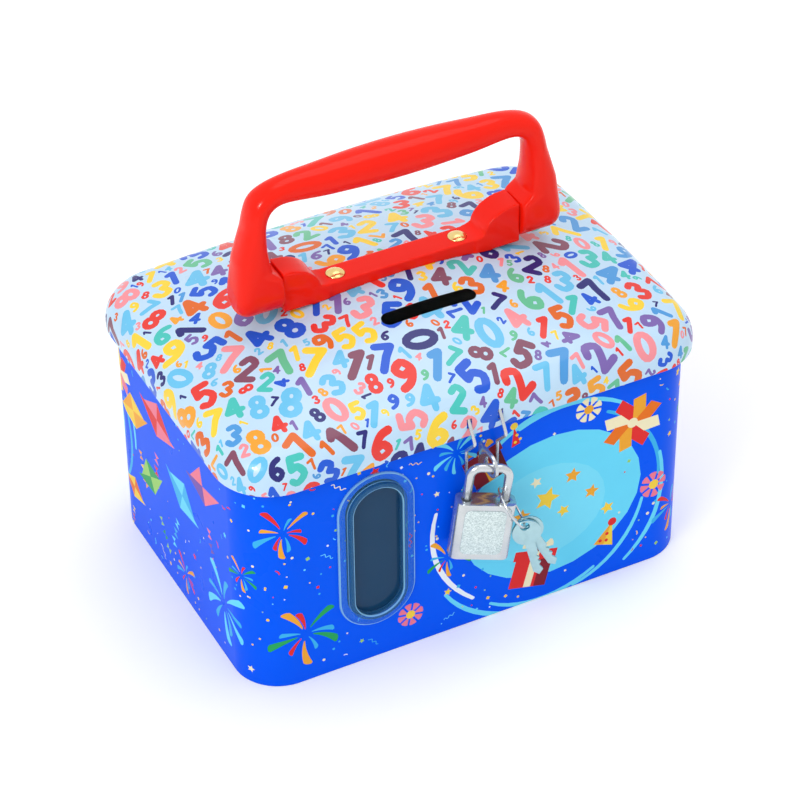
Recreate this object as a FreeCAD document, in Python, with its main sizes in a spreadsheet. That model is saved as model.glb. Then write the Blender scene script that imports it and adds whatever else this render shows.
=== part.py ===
import FreeCAD, Part
import Sketcher
import math
import os
import re

# A tin money box: a wrapped tin body with a window, a hinged crowned lid with a coin slot and a
# folding handle, and a small padlock that hangs on the staple in front.
# Millimetres. +X runs to the right along the front, +Y to the back, +Z up.
# The origin is the middle of the body's underside.

SIZES = {
    # Tin body
    "tin": 0.3,
    "body_width": 155,
    "body_depth": 108.4,
    "body_corner": 15,
    "rim_height": 83,
    "bead_radius": 0.8,
    "bottom_recess": 2.5,
    "bottom_hem": 2,
    "bottom_step": 7,
    # Lid
    "lid_overhang": 3.2,
    "lid_drop": 4.9,
    "crown_edge": 10.5,
    "crown_rise": 14.7,
    "shoulder_radius": 10,
    "lid_hem": 1.5,
    "slot_length": 32,
    "slot_width": 5,
    "slot_forward": 21.3,
    # Rear hinges
    "hinge_inset": 32.5,
    "hinge_length": 24,
    "lid_knuckle": 12,
    "knuckle_gap": 0.2,
    "barrel_radius": 1.6,
    "hinge_pin_radius": 0.7,
    "hinge_clearance": 0.05,
    "leaf_thickness": 0.8,
    "leaf_height": 10,
    "leaf_drop": 6,
    "lid_leaf_height": 5.5,
    # Handle base
    "bar_thickness": 3.7,
    "bar_width": 9,
    "pivot_rise": 5.9,
    "boss_radius": 6.5,
    "boss_width": 9.8,
    "boss_drop": 1.6,
    "boss_reach": 40.5,
    "boss_length": 9.5,
    "boss_blend": 6,
    "peg_radius": 2.5,
    "peg_length": 6,
    "peg_clearance": 0.05,
    "peg_end_gap": 0.3,
    # Handle grip
    "leg_gap": 0.3,
    "foot_radius": 7,
    "foot_length": 14.6,
    "foot_round": 4,
    "foot_thickness": 14.4,
    "leg_width": 9,
    "leg_depth": 10.8,
    "leg_lean": 1.6,
    "grip_rise": 33.6,
    "grip_bend": 9,
    "grip_end_thickness": 8.4,
    "grip_end_depth": 9.2,
    "grip_thickness": 12,
    "grip_depth": 13,
    # Handle rivets
    "rivet_setback": 0.85,
    "rivet_radius": 1.5,
    "rivet_head_radius": 3.15,
    "rivet_head_height": 1.2,
    "rivet_tail_radius": 2.3,
    "rivet_tail_height": 0.8,
    "washer_radius": 4,
    "washer_thickness": 1,
    # Window
    "window_inset": 41.9,
    "window_middle": 43.6,
    "window_span": 33,
    "flange_radius": 13,
    "flange_thickness": 1,
    "ridge_radius": 9.9,
    "ridge_width": 1.7,
    "ridge_height": 1.4,
    "pane_thickness": 1.2,
    "window_clearance": 0.1,
    "clip_radius": 12,
    "clip_thickness": 1,
    # Hasp and staple
    "hasp_wire": 0.55,
    "hasp_spread": 10.6,
    "hasp_bend": 1.3,
    "hasp_bar_height": 6.6,
    "hasp_bar_inset": 1.4,
    "hasp_knee_out": 3.6,
    "hasp_knee_drop": 1.1,
    "hasp_joggle_drop": 6.9,
    "hasp_tip_drop": 16,
    "hasp_wall_gap": 0.8,
    "hasp_slot_gap": 0.35,
    "hasp_slot_height": 3.4,
    "hasp_clip_length": 7,
    "hasp_clip_size": 2.6,
    "staple_reach": 7.1,
    "staple_drop": 10.5,
    "staple_hole": 2.8,
    "staple_rim": 1.3,
    "staple_thickness": 1,
    "staple_flange": 12,
    "staple_flange_thickness": 0.8,
    # Padlock
    "shackle_play": 0.3,
    "padlock_turn": -20,
    "padlock_lean": 8,
    "padlock_tip": -4,
    "shackle_radius": 1.4,
    "shackle_spread": 12,
    "shackle_bend": 3.2,
    "shackle_clear": 11.5,
    "toe_length": 6.5,
    "heel_length": 14,
    "bore_clearance": 0.15,
    "bore_end_gap": 0.6,
    "case_width": 18.5,
    "case_depth": 7.2,
    "case_height": 20,
    "case_round": 2.4,
    "panel_side_margin": 2.8,
    "panel_end_margin": 2,
    "panel_round": 2,
    "panel_recess": 0.5,
    "panel_thickness": 0.7,
    "plug_radius": 2.2,
    "plug_clearance": 0.06,
    "cam_throw": 1.5,
    "cam_radius": 0.5,
    "cam_angle": 45,
    "bolt_drop": 3.5,
    "bolt_height": 2,
    "bolt_width": 4.4,
    "bolt_engage": 1,
    "bolt_clearance": 0.15,
    "bolt_tail": 1.1,
    "shackle_lift": 7,
    "spring_radius": 0.8,
    "spring_bore": 0.5,
    "spring_seat": 2.4,
    "stop_pin_radius": 0.6,
    "stop_pin_drop": 2.5,
    "stop_bite": 0.7,
    # Ring and keys
    "ring_radius": 7,
    "ring_wire": 0.4,
    "ring_gap": 0.3,
    "ring_rise": 2.5,
    "ring_tilt": 50,
    "key_thickness": 0.9,
    "key_gap": 0.6,
    "key_head": 4.6,
    "key_hole": 1.5,
    "key_hole_rise": 2.6,
    "key_blade_width": 3.2,
    "key_blade_length": 12,
    "key_tooth_pitch": 1.8,
    "key_tooth_depth": 0.9,
    "key_slack": 0.2,
    "key_fit": 0.1,
    "key_first_angle": 22,
    "key_second_angle": 38,
}

doc = FreeCAD.newDocument("money_box")
V = FreeCAD.Vector


def make_sheet():
    """Put every driving dimension into an aliased cell."""
    sheet = doc.addObject("Spreadsheet::Sheet", "dims")
    for row, (alias, value) in enumerate(SIZES.items(), start=1):
        sheet.set(f"A{row}", alias)
        sheet.set(f"B{row}", str(value))
        sheet.setAlias(f"B{row}", alias)
    doc.recompute()
    return sheet


dims = make_sheet()

# Places that several pieces share, as expressions on the sheet's cells
FRONT = "(-body_depth / 2)"
BACK = "(body_depth / 2)"
LID_HALF_WIDTH = "(body_width / 2 + lid_overhang)"
LID_HALF_DEPTH = "(body_depth / 2 + lid_overhang)"
LID_EDGE = "(rim_height - lid_drop)"
CROWN_EDGE = f"({LID_EDGE} + crown_edge)"
CROWN_TOP = f"({CROWN_EDGE} + crown_rise)"
BAR_TOP = f"({CROWN_TOP} + bar_thickness)"
PIVOT = f"({CROWN_TOP} + pivot_rise)"
RIVET_X = "(boss_reach - boss_length - boss_blend - rivet_head_radius - rivet_setback)"
HINGE_Y = f"({LID_HALF_DEPTH} + barrel_radius + knuckle_gap)"
HINGE_Z = LID_EDGE
WINDOW_X = "(-body_width / 2 + window_inset)"
PRONG_SHARE = "(hasp_bar_inset / (hasp_bar_inset + hasp_knee_out))"
HASP_SLOT_RISE = f"(hasp_bar_height - (hasp_bar_height + hasp_knee_drop) * {PRONG_SHARE})"
STAPLE_RIM = "(staple_hole + staple_rim)"
PADLOCK_Y = f"({FRONT} - staple_reach)"
STAPLE_Z = f"({LID_EDGE} - staple_drop)"
PADLOCK_Z = f"({STAPLE_Z} - staple_hole + shackle_play + shackle_radius)"
CASE_TOP = "(-shackle_clear)"
CASE_BOTTOM = "(-shackle_clear - case_height)"
BOLT_MIDDLE = "(-shackle_clear - bolt_drop)"
BOLT_FLOOR = f"({BOLT_MIDDLE} - bolt_height / 2 - bolt_clearance)"
CAM_SIDE = "(cam_throw * cos(cam_angle))"
BOLT_TRAVEL = f"(2 * {CAM_SIDE})"
SPRING_ROOM = "(2 * (spring_radius + bolt_clearance))"
TOE_INSIDE = "(-shackle_spread / 2 + shackle_radius)"
STOP_X = "(shackle_spread / 2 + shackle_radius - stop_bite + stop_pin_radius)"
STOP_Z = "(-shackle_clear - stop_pin_drop)"
RING_X = "(shackle_spread / 2 - shackle_radius - ring_gap - ring_wire)"
RING_Z = f"({CASE_TOP} + ring_rise)"
# The padlock's own axes: the middle of the shackle's crossbar, turned, leaning and tipped as it hangs
PADLOCK_FRAME = (f"create(<<placement>>; create(<<vector>>; 0; {PADLOCK_Y}; {PADLOCK_Z}); "
                 "create(<<rotation>>; padlock_turn; padlock_lean; padlock_tip))")


def sized(expression):
    """Name the sheet in front of each of its aliases."""
    return re.sub(r"[a-z_]+", lambda word: f"dims.{word[0]}" if word[0] in SIZES else word[0], expression)


def bind(item, **expressions):
    """Tie properties to the sheet; a double underscore stands for a dot."""
    for name, expression in expressions.items():
        item.setExpression(name.replace("__", "."), sized(expression))


def place(item, x, y, z):
    bind(item, Placement__Base__x=x, Placement__Base__y=y, Placement__Base__z=z)


def value(expression):
    """The number that an expression on the sheet's cells comes to, for shapes made in code."""
    return float(dims.evalExpression(sized(expression)))


def box(name, size, low):
    item = doc.addObject("Part::Box", name)
    bind(item, Length=size[0], Width=size[1], Height=size[2])
    place(item, *low)
    return item


def span(sign, inner, outer):
    """Where a run along X between two distances from the middle starts on one side, and its length."""
    start = f"-({outer})" if sign < 0 else f"({inner})"
    return start, f"({outer} - {inner})"


ALONG = {
    "x": FreeCAD.Rotation(V(0, 1, 0), 90),
    "y": FreeCAD.Rotation(V(1, 0, 0), -90),
    "z": FreeCAD.Rotation(),
}


def cylinder(name, radius, length, start, along="z"):
    item = doc.addObject("Part::Cylinder", name)
    bind(item, Radius=radius, Height=length)
    item.Placement.Rotation = ALONG[along]
    place(item, *start)
    return item


def fuse(name, *items):
    item = doc.addObject("Part::MultiFuse", name)
    item.Shapes = list(items)
    item.Refine = True
    return item


def common(name, *items):
    item = doc.addObject("Part::MultiCommon", name)
    item.Shapes = list(items)
    return item


def cut(name, base, *tools):
    item = doc.addObject("Part::Cut", name)
    item.Base = base
    item.Tool = tools[0] if len(tools) == 1 else fuse(f"{name}_tools", *tools)
    return item


def shaped(name, shape):
    item = doc.addObject("Part::Feature", name)
    item.Shape = shape
    return item


def rounded_prism(name, width, depth, corner, low, height):
    """An upright prism on a rectangle with round corners."""
    core = doc.addObject("Part::Plane", f"{name}_core")
    bind(core, Length=f"{width} - 2 * {corner}", Width=f"{depth} - 2 * {corner}")
    place(core, f"-{width} / 2 + {corner}", f"-{depth} / 2 + {corner}", low)
    outline = doc.addObject("Part::Offset2D", f"{name}_outline")
    outline.Source = core
    outline.Join = "Arc"
    bind(outline, Value=corner)
    prism = doc.addObject("Part::Extrusion", name)
    prism.Base = outline
    prism.DirMode = "Custom"
    prism.Dir = V(0, 0, 1)
    prism.Solid = True
    bind(prism, LengthFwd=height)
    return prism


def body_prism(name, inset, low, height):
    """A prism on the tin body's outline, drawn in by the inset."""
    return rounded_prism(name, f"(body_width - 2 * {inset})", f"(body_depth - 2 * {inset})",
                         f"(body_corner - {inset})", low, height)


def lid_prism(name, inset, low, height):
    """A prism on the lid's outline, drawn in by the inset."""
    return rounded_prism(name, f"(2 * ({LID_HALF_WIDTH} - {inset}))", f"(2 * ({LID_HALF_DEPTH} - {inset}))",
                         f"(body_corner + lid_overhang - {inset})", low, height)


def stadium(name, radius, front, length):
    """A prism along Y on the window's outline: two half rounds and the straight run between them."""
    low = "(window_middle - window_span / 2)"
    high = "(window_middle + window_span / 2)"
    run = box(f"{name}_run", (f"2 * {radius}", length, "window_span"),
              (f"{WINDOW_X} - {radius}", front, low))
    ends = [cylinder(f"{name}_{side}", radius, length, (WINDOW_X, front, z), "y")
            for side, z in (("low", low), ("high", high))]
    return fuse(name, run, *ends)


def bent_wire(points, radius, bend):
    """A round wire through the points, with an arc of the bend radius at each corner."""
    edges = []
    start = points[0]
    for before, corner, after in zip(points, points[1:], points[2:]):
        into = (corner - before).normalize()
        out = (after - corner).normalize()
        half_turn = into.getAngle(out) / 2
        reach = bend * math.tan(half_turn)
        arc_start = corner - into * reach
        arc_end = corner + out * reach
        inward = (out - into).normalize()
        arc_middle = corner + inward * (bend / math.cos(half_turn) - bend)
        edges.append(Part.LineSegment(start, arc_start).toShape())
        edges.append(Part.Arc(arc_start, arc_middle, arc_end).toShape())
        start = arc_end
    edges.append(Part.LineSegment(start, points[-1]).toShape())
    path = Part.Wire(edges)
    ring = Part.Wire(Part.makeCircle(radius, points[0], points[1] - points[0]))
    return path.makePipeShell([ring], True, False)


def outline_pad(name, plane, points, length):
    """A body padded both ways from a straight-sided outline on one of its origin planes."""
    body = doc.addObject("PartDesign::Body", name)
    sketch = body.newObject("Sketcher::SketchObject", f"{name}_sketch")
    sketch.AttachmentSupport = [(next(item for item in body.Origin.OriginFeatures if item.Role == plane), "")]
    sketch.MapMode = "FlatFace"
    count = len(points)
    rough = [V(value(x), value(y), 0) for x, y in points]
    for index in range(count):
        sketch.addGeometry(Part.LineSegment(rough[index], rough[(index + 1) % count]), False)
    for index in range(count):
        sketch.addConstraint(Sketcher.Constraint("Coincident", index, 2, (index + 1) % count, 1))
    for index, (x, y) in enumerate(points):
        for kind, axis, expression in (("DistanceX", "x", x), ("DistanceY", "y", y)):
            number = sketch.addConstraint(Sketcher.Constraint(kind, -1, 1, index, 1, value(expression)))
            sketch.renameConstraint(number, f"point_{index}_{axis}")
            sketch.setExpression(f"Constraints.point_{index}_{axis}", sized(expression))
    pad = body.newObject("PartDesign::Pad", f"{name}_pad")
    pad.Profile = sketch
    pad.Midplane = True
    bind(pad, Length=length)
    return body


def hang(item, at=("0", "0", "0"), pitch="0", roll="0"):
    """Put a padlock piece where it sits in the padlock's own axes, and so where the padlock hangs."""
    bind(item, Placement=f"{PADLOCK_FRAME} * create(<<placement>>; create(<<vector>>; {'; '.join(at)}); "
                         f"create(<<rotation>>; 0; {pitch}; {roll}))")
    return item


# Tin body

def make_rim_bead():
    """The body's top edge, curled outward into a bead."""
    corner = value("body_corner")
    out = value("bead_radius - tin")
    height = value("rim_height - bead_radius")
    core = Part.makePlane(value("body_width") - 2 * corner, value("body_depth") - 2 * corner,
                          V(-value("body_width") / 2 + corner, -value("body_depth") / 2 + corner, height))
    path = core.makeOffset2D(corner + out).OuterWire
    start = path.Edges[0]
    section = Part.Wire(Part.makeCircle(value("bead_radius"), start.valueAt(start.FirstParameter),
                                        start.tangentAt(start.FirstParameter)))
    return shaped("rim_bead", Part.Wire(path.Edges).makePipeShell([section], True, False))


def make_body_wall():
    """The wrapped wall with its rim bead, the hem that grips the bottom, and the front holes."""
    wall_top = "(rim_height - bead_radius)"
    skin = cut("wall_skin", body_prism("wall_outside", "0", "0", wall_top),
               body_prism("wall_inside", "tin", "-tin", f"{wall_top} + 2 * tin"))
    groove = cut("hem_groove", body_prism("groove_outside", "tin", "tin", "bottom_hem"),
                 body_prism("groove_inside", "(2 * tin)", "0", "bottom_hem + 2 * tin"))
    hem = cut("wall_hem", body_prism("hem_outside", "tin", "0", "bottom_hem"),
              body_prism("hem_inside", "(3 * tin)", "-tin", "bottom_hem + 2 * tin"), groove)
    window_hole = stadium("window_hole", "(ridge_radius + window_clearance)", f"{FRONT} - tin", "3 * tin")
    staple_slot = box("staple_slot", ("staple_thickness", "3 * tin", f"2 * {STAPLE_RIM}"),
                      ("-staple_thickness / 2", f"{FRONT} - tin", f"{STAPLE_Z} - {STAPLE_RIM}"))
    return cut("body_wall", fuse("wall_whole", skin, hem, make_rim_bead()), window_hole, staple_slot)


def make_body_bottom():
    """The bottom plate: a flange turned down into the wall's hem and a middle pressed down to the ground."""
    flange = cut("bottom_flange", body_prism("flange_outside", "tin", "tin", "bottom_recess - tin"),
                 body_prism("flange_inside", "(2 * tin)", "0", "bottom_recess"))
    ledge = body_prism("bottom_ledge", "tin", "bottom_recess - tin", "tin")
    dish = body_prism("bottom_dish", "bottom_step", "0", "bottom_recess")
    hollow = body_prism("bottom_hollow", "(bottom_step + tin)", "tin", "bottom_recess")
    return cut("body_bottom", fuse("bottom_whole", flange, ledge, dish), hollow)


# Lid

def lid_form(name, inset, low):
    """The pressed lid as a full solid: upright sides, a round shoulder and a crowned top."""
    half_width = value(LID_HALF_WIDTH)
    half_depth = value(LID_HALF_DEPTH)
    edge = value(CROWN_EDGE) - inset
    rise = value("crown_rise")
    crown = Part.BezierSurface()
    crown.increase(2, 2)
    # The patch reaches past the sides; these poles make each way the parabola that is 0 at the sides
    reach = 1.1
    poles = (-reach, 1 - reach ** 2), (0, 1 + reach ** 2), (reach, 1 - reach ** 2)
    for row, (x, x_share) in enumerate(poles, start=1):
        for column, (y, y_share) in enumerate(poles, start=1):
            crown.setPole(row, column, V(x * half_width, y * half_depth, edge + rise * x_share * y_share))
    below_crown = crown.toShape().extrude(V(0, 0, low - edge - rise))
    corner = value("body_corner + lid_overhang") - inset
    core = Part.makePlane(2 * (half_width - inset - corner), 2 * (half_depth - inset - corner),
                          V(corner + inset - half_width, corner + inset - half_depth, low))
    sides = core.makeOffset2D(corner).extrude(V(0, 0, edge + rise - low + corner))
    block = sides.common(below_crown).Solids[0]
    rim = [line for line in block.Edges if line.BoundBox.ZMin > (low + edge) / 2]
    return shaped(name, block.makeFillet(value("shoulder_radius") - inset, rim).Solids[0])


def make_lid_shell(outside, inside):
    """The lid's skin with a flat hem, and its coin slot, rivet holes and hasp slots."""
    hem = cut("lid_hem_ring", lid_prism("lid_hem_outside", "tin", LID_EDGE, "lid_hem"),
              lid_prism("lid_hem_inside", "(2 * tin)", f"{LID_EDGE} - tin", "lid_hem + 2 * tin"))
    whole = fuse("lid_whole", cut("lid_skin", outside, inside), hem)
    half_run = "(slot_length / 2 - slot_width / 2)"
    tools = [box("slot_run", (f"2 * {half_run}", "slot_width", "2 * crown_rise"),
                 (f"-{half_run}", "-slot_forward - slot_width / 2", CROWN_EDGE))]
    for side, sign in (("left", "-1"), ("right", "1")):
        tools.append(cylinder(f"slot_{side}", "slot_width / 2", "2 * crown_rise",
                              (f"{sign} * {half_run}", "-slot_forward", CROWN_EDGE)))
        tools.append(cylinder(f"lid_rivet_hole_{side}", "rivet_radius", "2 * crown_rise",
                              (f"{sign} * {RIVET_X}", "0", CROWN_EDGE)))
        half_slot = "(hasp_wire + hasp_slot_gap)"
        tools.append(box(f"hasp_slot_{side}", (f"2 * {half_slot}", "2 * lid_overhang", "hasp_slot_height"),
                         (f"{sign} * hasp_spread / 2 - {half_slot}", f"-{LID_HALF_DEPTH} - lid_overhang",
                          f"{LID_EDGE} + {HASP_SLOT_RISE} - hasp_slot_height / 2")))
    return cut("lid_shell", whole, *tools)


# Rear hinges

def make_hinge(side, sign, lid_outside):
    """One hinge: a leaf with two knuckles on the body, a leaf with one on the lid, and the pin."""
    middle = f"({sign} * (body_width / 2 - hinge_inset))"
    start = (f"{middle} - hinge_length / 2", HINGE_Y, HINGE_Z)
    top = f"({HINGE_Z} - leaf_drop)"
    plate = box(f"hinge_plate_{side}", ("hinge_length", "leaf_thickness", "leaf_height"),
                (start[0], BACK, f"{top} - leaf_height"))
    arm = outline_pad(f"hinge_arm_{side}", "YZ_Plane", (
        (BACK, f"{top} - leaf_thickness"),
        (HINGE_Y, f"{HINGE_Z} - barrel_radius"),
        (f"{HINGE_Y} - barrel_radius", f"{HINGE_Z} - barrel_radius / 2"),
        (BACK, f"{top} + leaf_thickness")), "hinge_length")
    bind(arm, Placement__Base__x=middle)
    barrel = cylinder(f"hinge_barrel_{side}", "barrel_radius", "hinge_length", start, "x")
    room = "(lid_knuckle + 2 * knuckle_gap)"
    gap = box(f"hinge_gap_{side}",
              (room, "lid_overhang + 4 * barrel_radius", "leaf_drop + 2 * barrel_radius"),
              (f"{middle} - {room} / 2", f"{BACK} + leaf_thickness", f"{top} + leaf_thickness"))
    pin_hole = cylinder(f"hinge_pin_hole_{side}", "hinge_pin_radius", "hinge_length", start, "x")
    body_leaf = cut(f"hinge_body_leaf_{side}", fuse(f"hinge_leaf_whole_{side}", plate, arm, barrel),
                    gap, pin_hole)
    lid_start = (f"{middle} - lid_knuckle / 2", HINGE_Y, HINGE_Z)
    lid_plate = cut(f"lid_plate_{side}", box(
        f"lid_plate_block_{side}", ("lid_knuckle", "shoulder_radius", "lid_leaf_height"),
        (lid_start[0], f"{LID_HALF_DEPTH} + leaf_thickness - shoulder_radius", HINGE_Z)), lid_outside)
    knuckle = cylinder(f"lid_knuckle_{side}", "barrel_radius", "lid_knuckle", lid_start, "x")
    bearing = cylinder(f"lid_bearing_{side}", "hinge_pin_radius + hinge_clearance", "lid_knuckle",
                       lid_start, "x")
    lid_leaf = cut(f"hinge_lid_leaf_{side}", fuse(f"lid_leaf_whole_{side}", lid_plate, knuckle), bearing)
    pin = cylinder(f"hinge_pin_{side}", "hinge_pin_radius", "hinge_length", start, "x")
    return [body_leaf, lid_leaf, pin]


# Handle

def make_handle_base(lid_outside):
    """The moulded bar that is riveted to the lid, with a round boss at each end for the handle's pegs."""
    inner = "(boss_reach - boss_length)"
    blend_start = f"({inner} - boss_blend)"
    boss_low = f"({CROWN_TOP} - boss_drop)"
    pieces = [box("base_bar", (f"2 * {inner}", "bar_width", f"{BAR_TOP} - {CROWN_EDGE}"),
                  (f"-{inner}", "-bar_width / 2", CROWN_EDGE))]
    tools = [lid_outside]
    for side, sign in (("left", -1), ("right", 1)):
        start, length = span(sign, blend_start, "boss_reach")
        corner = (start, "-boss_width / 2", boss_low)
        upright = box(f"boss_upright_{side}",
                      (length, "boss_width", f"{PIVOT} - {boss_low} + boss_radius"), corner)
        below = box(f"boss_below_{side}", (length, "boss_width", f"{PIVOT} - {boss_low}"), corner)
        round_top = cylinder(f"boss_round_{side}", "boss_radius", length, (start, "0", PIVOT), "x")
        pieces.append(common(f"boss_{side}", upright, fuse(f"boss_outline_{side}", round_top, below)))
        blend_z = f"{BAR_TOP} + boss_blend"
        tools.append(cylinder(f"blend_round_{side}", "boss_blend", "boss_width",
                              (f"{sign} * {blend_start}", "-boss_width / 2", blend_z), "y"))
        start, length = span(sign, blend_start, inner)
        tools.append(box(f"blend_above_{side}", (length, "boss_width", "boss_radius"),
                         (start, "-boss_width / 2", blend_z)))
        start, length = span(sign, "(boss_reach - peg_length - peg_end_gap)", "boss_reach")
        tools.append(cylinder(f"peg_socket_{side}", "peg_radius + peg_clearance", length,
                              (start, "0", PIVOT), "x"))
        tools.append(cylinder(f"base_rivet_hole_{side}", "rivet_radius", f"{BAR_TOP} - {CROWN_EDGE}",
                              (f"{sign} * {RIVET_X}", "0", CROWN_EDGE)))
    return cut("handle_base", fuse("base_whole", *pieces), *tools)


def mix(low, high, share):
    """A section's values part of the way from one section to another."""
    return [first + (second - first) * share for first, second in zip(low, high)]


def half_sizes(wide, deep):
    return [value(wide) / 2, value(deep) / 2]


# How square the handle's sections are: 0.55 is an oval, and 1 comes near to a rectangle
FOOT_SQUARENESS = 0.8
LEG_SQUARENESS = 0.68
GRIP_SQUARENESS = 0.6
# How far up a leg stays wide: 1 narrows it evenly from the foot, and more keeps the foot's width for longer
LEG_FLARE = 1.5


def grip_stations():
    """Places along the handle from the right foot to the middle: x, rise, heading, half sizes, squareness."""
    foot_x = value("boss_reach + leg_gap + foot_length / 2")
    lean = value("leg_lean")
    rise = value("grip_rise")
    bend = value("grip_bend")
    leg_height = rise - bend
    foot = half_sizes("foot_thickness", "2 * foot_radius")
    leg = half_sizes("leg_width", "leg_depth")
    end = half_sizes("grip_end_thickness", "grip_end_depth")
    middle = half_sizes("grip_thickness", "grip_depth")
    upright = 90
    level = 180
    bend_x = foot_x - lean - bend
    foot.append(FOOT_SQUARENESS)
    leg.append(LEG_SQUARENESS)
    end.append(GRIP_SQUARENESS)
    middle.append(GRIP_SQUARENESS)
    stations = [(foot_x - lean * share, leg_height * share, upright, mix(foot, leg, share ** LEG_FLARE))
                for share in (0, 1 / 3, 2 / 3)]
    for turn in (0, 45, 90):
        angle = math.radians(turn)
        stations.append((bend_x + bend * math.cos(angle), leg_height + bend * math.sin(angle),
                         upright + turn, mix(leg, end, turn / upright)))
    for share in (1 / 4, 1 / 2, 3 / 4, 1):
        swell = math.sin(math.radians(upright * share))
        stations.append((bend_x * (1 - share), rise, level, mix(end, middle, swell)))
    return stations


def grip_sections():
    """Smooth closed sections from the right foot, over the top, to the left foot."""
    stations = grip_stations()
    stations += [(-x, rise, 360 - heading, section) for x, rise, heading, section in reversed(stations[:-1])]
    pivot = value(PIVOT)
    wires = []
    for x, rise, heading, (thick, deep, squareness) in stations:
        along = V(math.cos(math.radians(heading)), 0, math.sin(math.radians(heading)))
        across = V(-along.z, 0, along.x)
        middle = V(x, 0, pivot + rise)
        forward = V(0, deep, 0)
        aside = across * -thick
        quarters = []
        for start, end in ((forward, aside), (aside, -forward), (-forward, -aside), (-aside, forward)):
            quarter = Part.BezierCurve()
            quarter.setPoles([middle + start, middle + start + end * squareness,
                              middle + end + start * squareness, middle + end])
            quarters.append(quarter.toShape())
        wires.append(Part.Wire(quarters))
    return wires


def make_handle_grip():
    """The moulded handle: a swelling grip on two legs, with a round foot and a peg at each pivot."""
    pieces = [shaped("grip_arch", Part.makeLoft(grip_sections(), True, False))]
    inner = "(boss_reach + leg_gap)"
    for side, sign in (("left", -1), ("right", 1)):
        start, length = span(sign, inner, f"({inner} + foot_length)")
        foot = cylinder(f"foot_{side}", "foot_radius", length, (start, "0", PIVOT), "x")
        doc.recompute()
        edges = foot.Shape.Edges
        outer_rim = max(range(len(edges)), key=lambda number: abs(edges[number].CenterOfMass.x))
        rounded = doc.addObject("Part::Fillet", f"foot_round_{side}")
        rounded.Base = foot
        rounded.Edges = [(outer_rim + 1, value("foot_round"), value("foot_round"))]
        start, length = span(sign, "(boss_reach - peg_length)", f"({inner} + foot_length / 2)")
        pieces += [rounded, cylinder(f"peg_{side}", "peg_radius", length, (start, "0", PIVOT), "x")]
    return fuse("handle_grip", *pieces)


def make_rivet(side, sign, lid_inside):
    """A domed rivet through the handle's bar and the lid, and the washer under its clinched tail."""
    x = f"({sign} * {RIVET_X})"
    ball_radius = "((rivet_head_radius ^ 2 + rivet_head_height ^ 2) / (2 * rivet_head_height))"
    ball = doc.addObject("Part::Sphere", f"rivet_ball_{side}")
    bind(ball, Radius=ball_radius)
    place(ball, x, "0", f"{BAR_TOP} + rivet_head_height - {ball_radius}")
    cap = cylinder(f"rivet_cap_{side}", "2 * rivet_head_radius", "2 * rivet_head_height", (x, "0", BAR_TOP))
    under_lid = f"({CROWN_TOP} - tin - crown_rise * ({RIVET_X} / {LID_HALF_WIDTH}) ^ 2)"
    seat = f"({under_lid} - washer_thickness)"
    end = (x, "0", f"{seat} - rivet_tail_height")
    shank = cylinder(f"rivet_shank_{side}", "rivet_radius", f"{BAR_TOP} - {seat} + rivet_tail_height", end)
    tail = cylinder(f"rivet_tail_{side}", "rivet_tail_radius", "rivet_tail_height", end)
    rivet = fuse(f"handle_rivet_{side}", common(f"rivet_head_{side}", ball, cap), shank, tail)
    disc = cylinder(f"washer_disc_{side}", "washer_radius", "2 * washer_thickness", (x, "0", seat))
    hole = cylinder(f"washer_hole_{side}", "rivet_radius", "2 * washer_thickness", (x, "0", seat))
    washer = cut(f"rivet_washer_{side}", common(f"washer_fit_{side}", disc, lid_inside), hole)
    return [rivet, washer]


# Window

def make_window():
    """A clear moulded window: a flange on the tin, a ridge round the pane, and a collar through the wall."""
    flange = stadium("window_flange", "flange_radius", f"{FRONT} - flange_thickness", "flange_thickness")
    ridge_front = f"({FRONT} - flange_thickness - ridge_height)"
    collar_back = f"({FRONT} + tin + clip_thickness)"
    ridge = stadium("window_ridge", "ridge_radius", ridge_front, f"{collar_back} - {ridge_front}")
    pane_radius = "(ridge_radius - ridge_width)"
    front_well = stadium("window_front_well", pane_radius, ridge_front, "flange_thickness + ridge_height")
    back_well = stadium("window_back_well", pane_radius, f"{FRONT} + pane_thickness", "clip_thickness + tin")
    return cut("window_pane", fuse("window_whole", flange, ridge), front_well, back_well)


def make_window_clip():
    """The ring inside the body that is pushed over the window's collar."""
    ring = stadium("clip_ring", "clip_radius", f"{FRONT} + tin", "clip_thickness")
    return cut("window_clip", ring, stadium("clip_hole", "ridge_radius", FRONT, "2 * clip_thickness"))


# Hasp and staple

def make_hasp():
    """A bent wire: a bar inside the lid, and two prongs out of its slots that end behind the shackle."""
    bar = value(f"-{LID_HALF_DEPTH} + hasp_bar_inset"), value(f"{LID_EDGE} + hasp_bar_height")
    knee = value(f"-{LID_HALF_DEPTH} - hasp_knee_out"), value(f"{LID_EDGE} - hasp_knee_drop")
    beside_wall = value(f"{FRONT} - hasp_wall_gap - hasp_wire")
    joggle = beside_wall, value(f"{LID_EDGE} - hasp_joggle_drop")
    tip = beside_wall, value(f"{LID_EDGE} - hasp_tip_drop")
    half = value("hasp_spread / 2")
    points = [V(-half, *point) for point in (tip, joggle, knee, bar)]
    points += [V(half, *point) for point in (bar, knee, joggle, tip)]
    return shaped("hasp", bent_wire(points, value("hasp_wire"), value("hasp_bend")))


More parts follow.
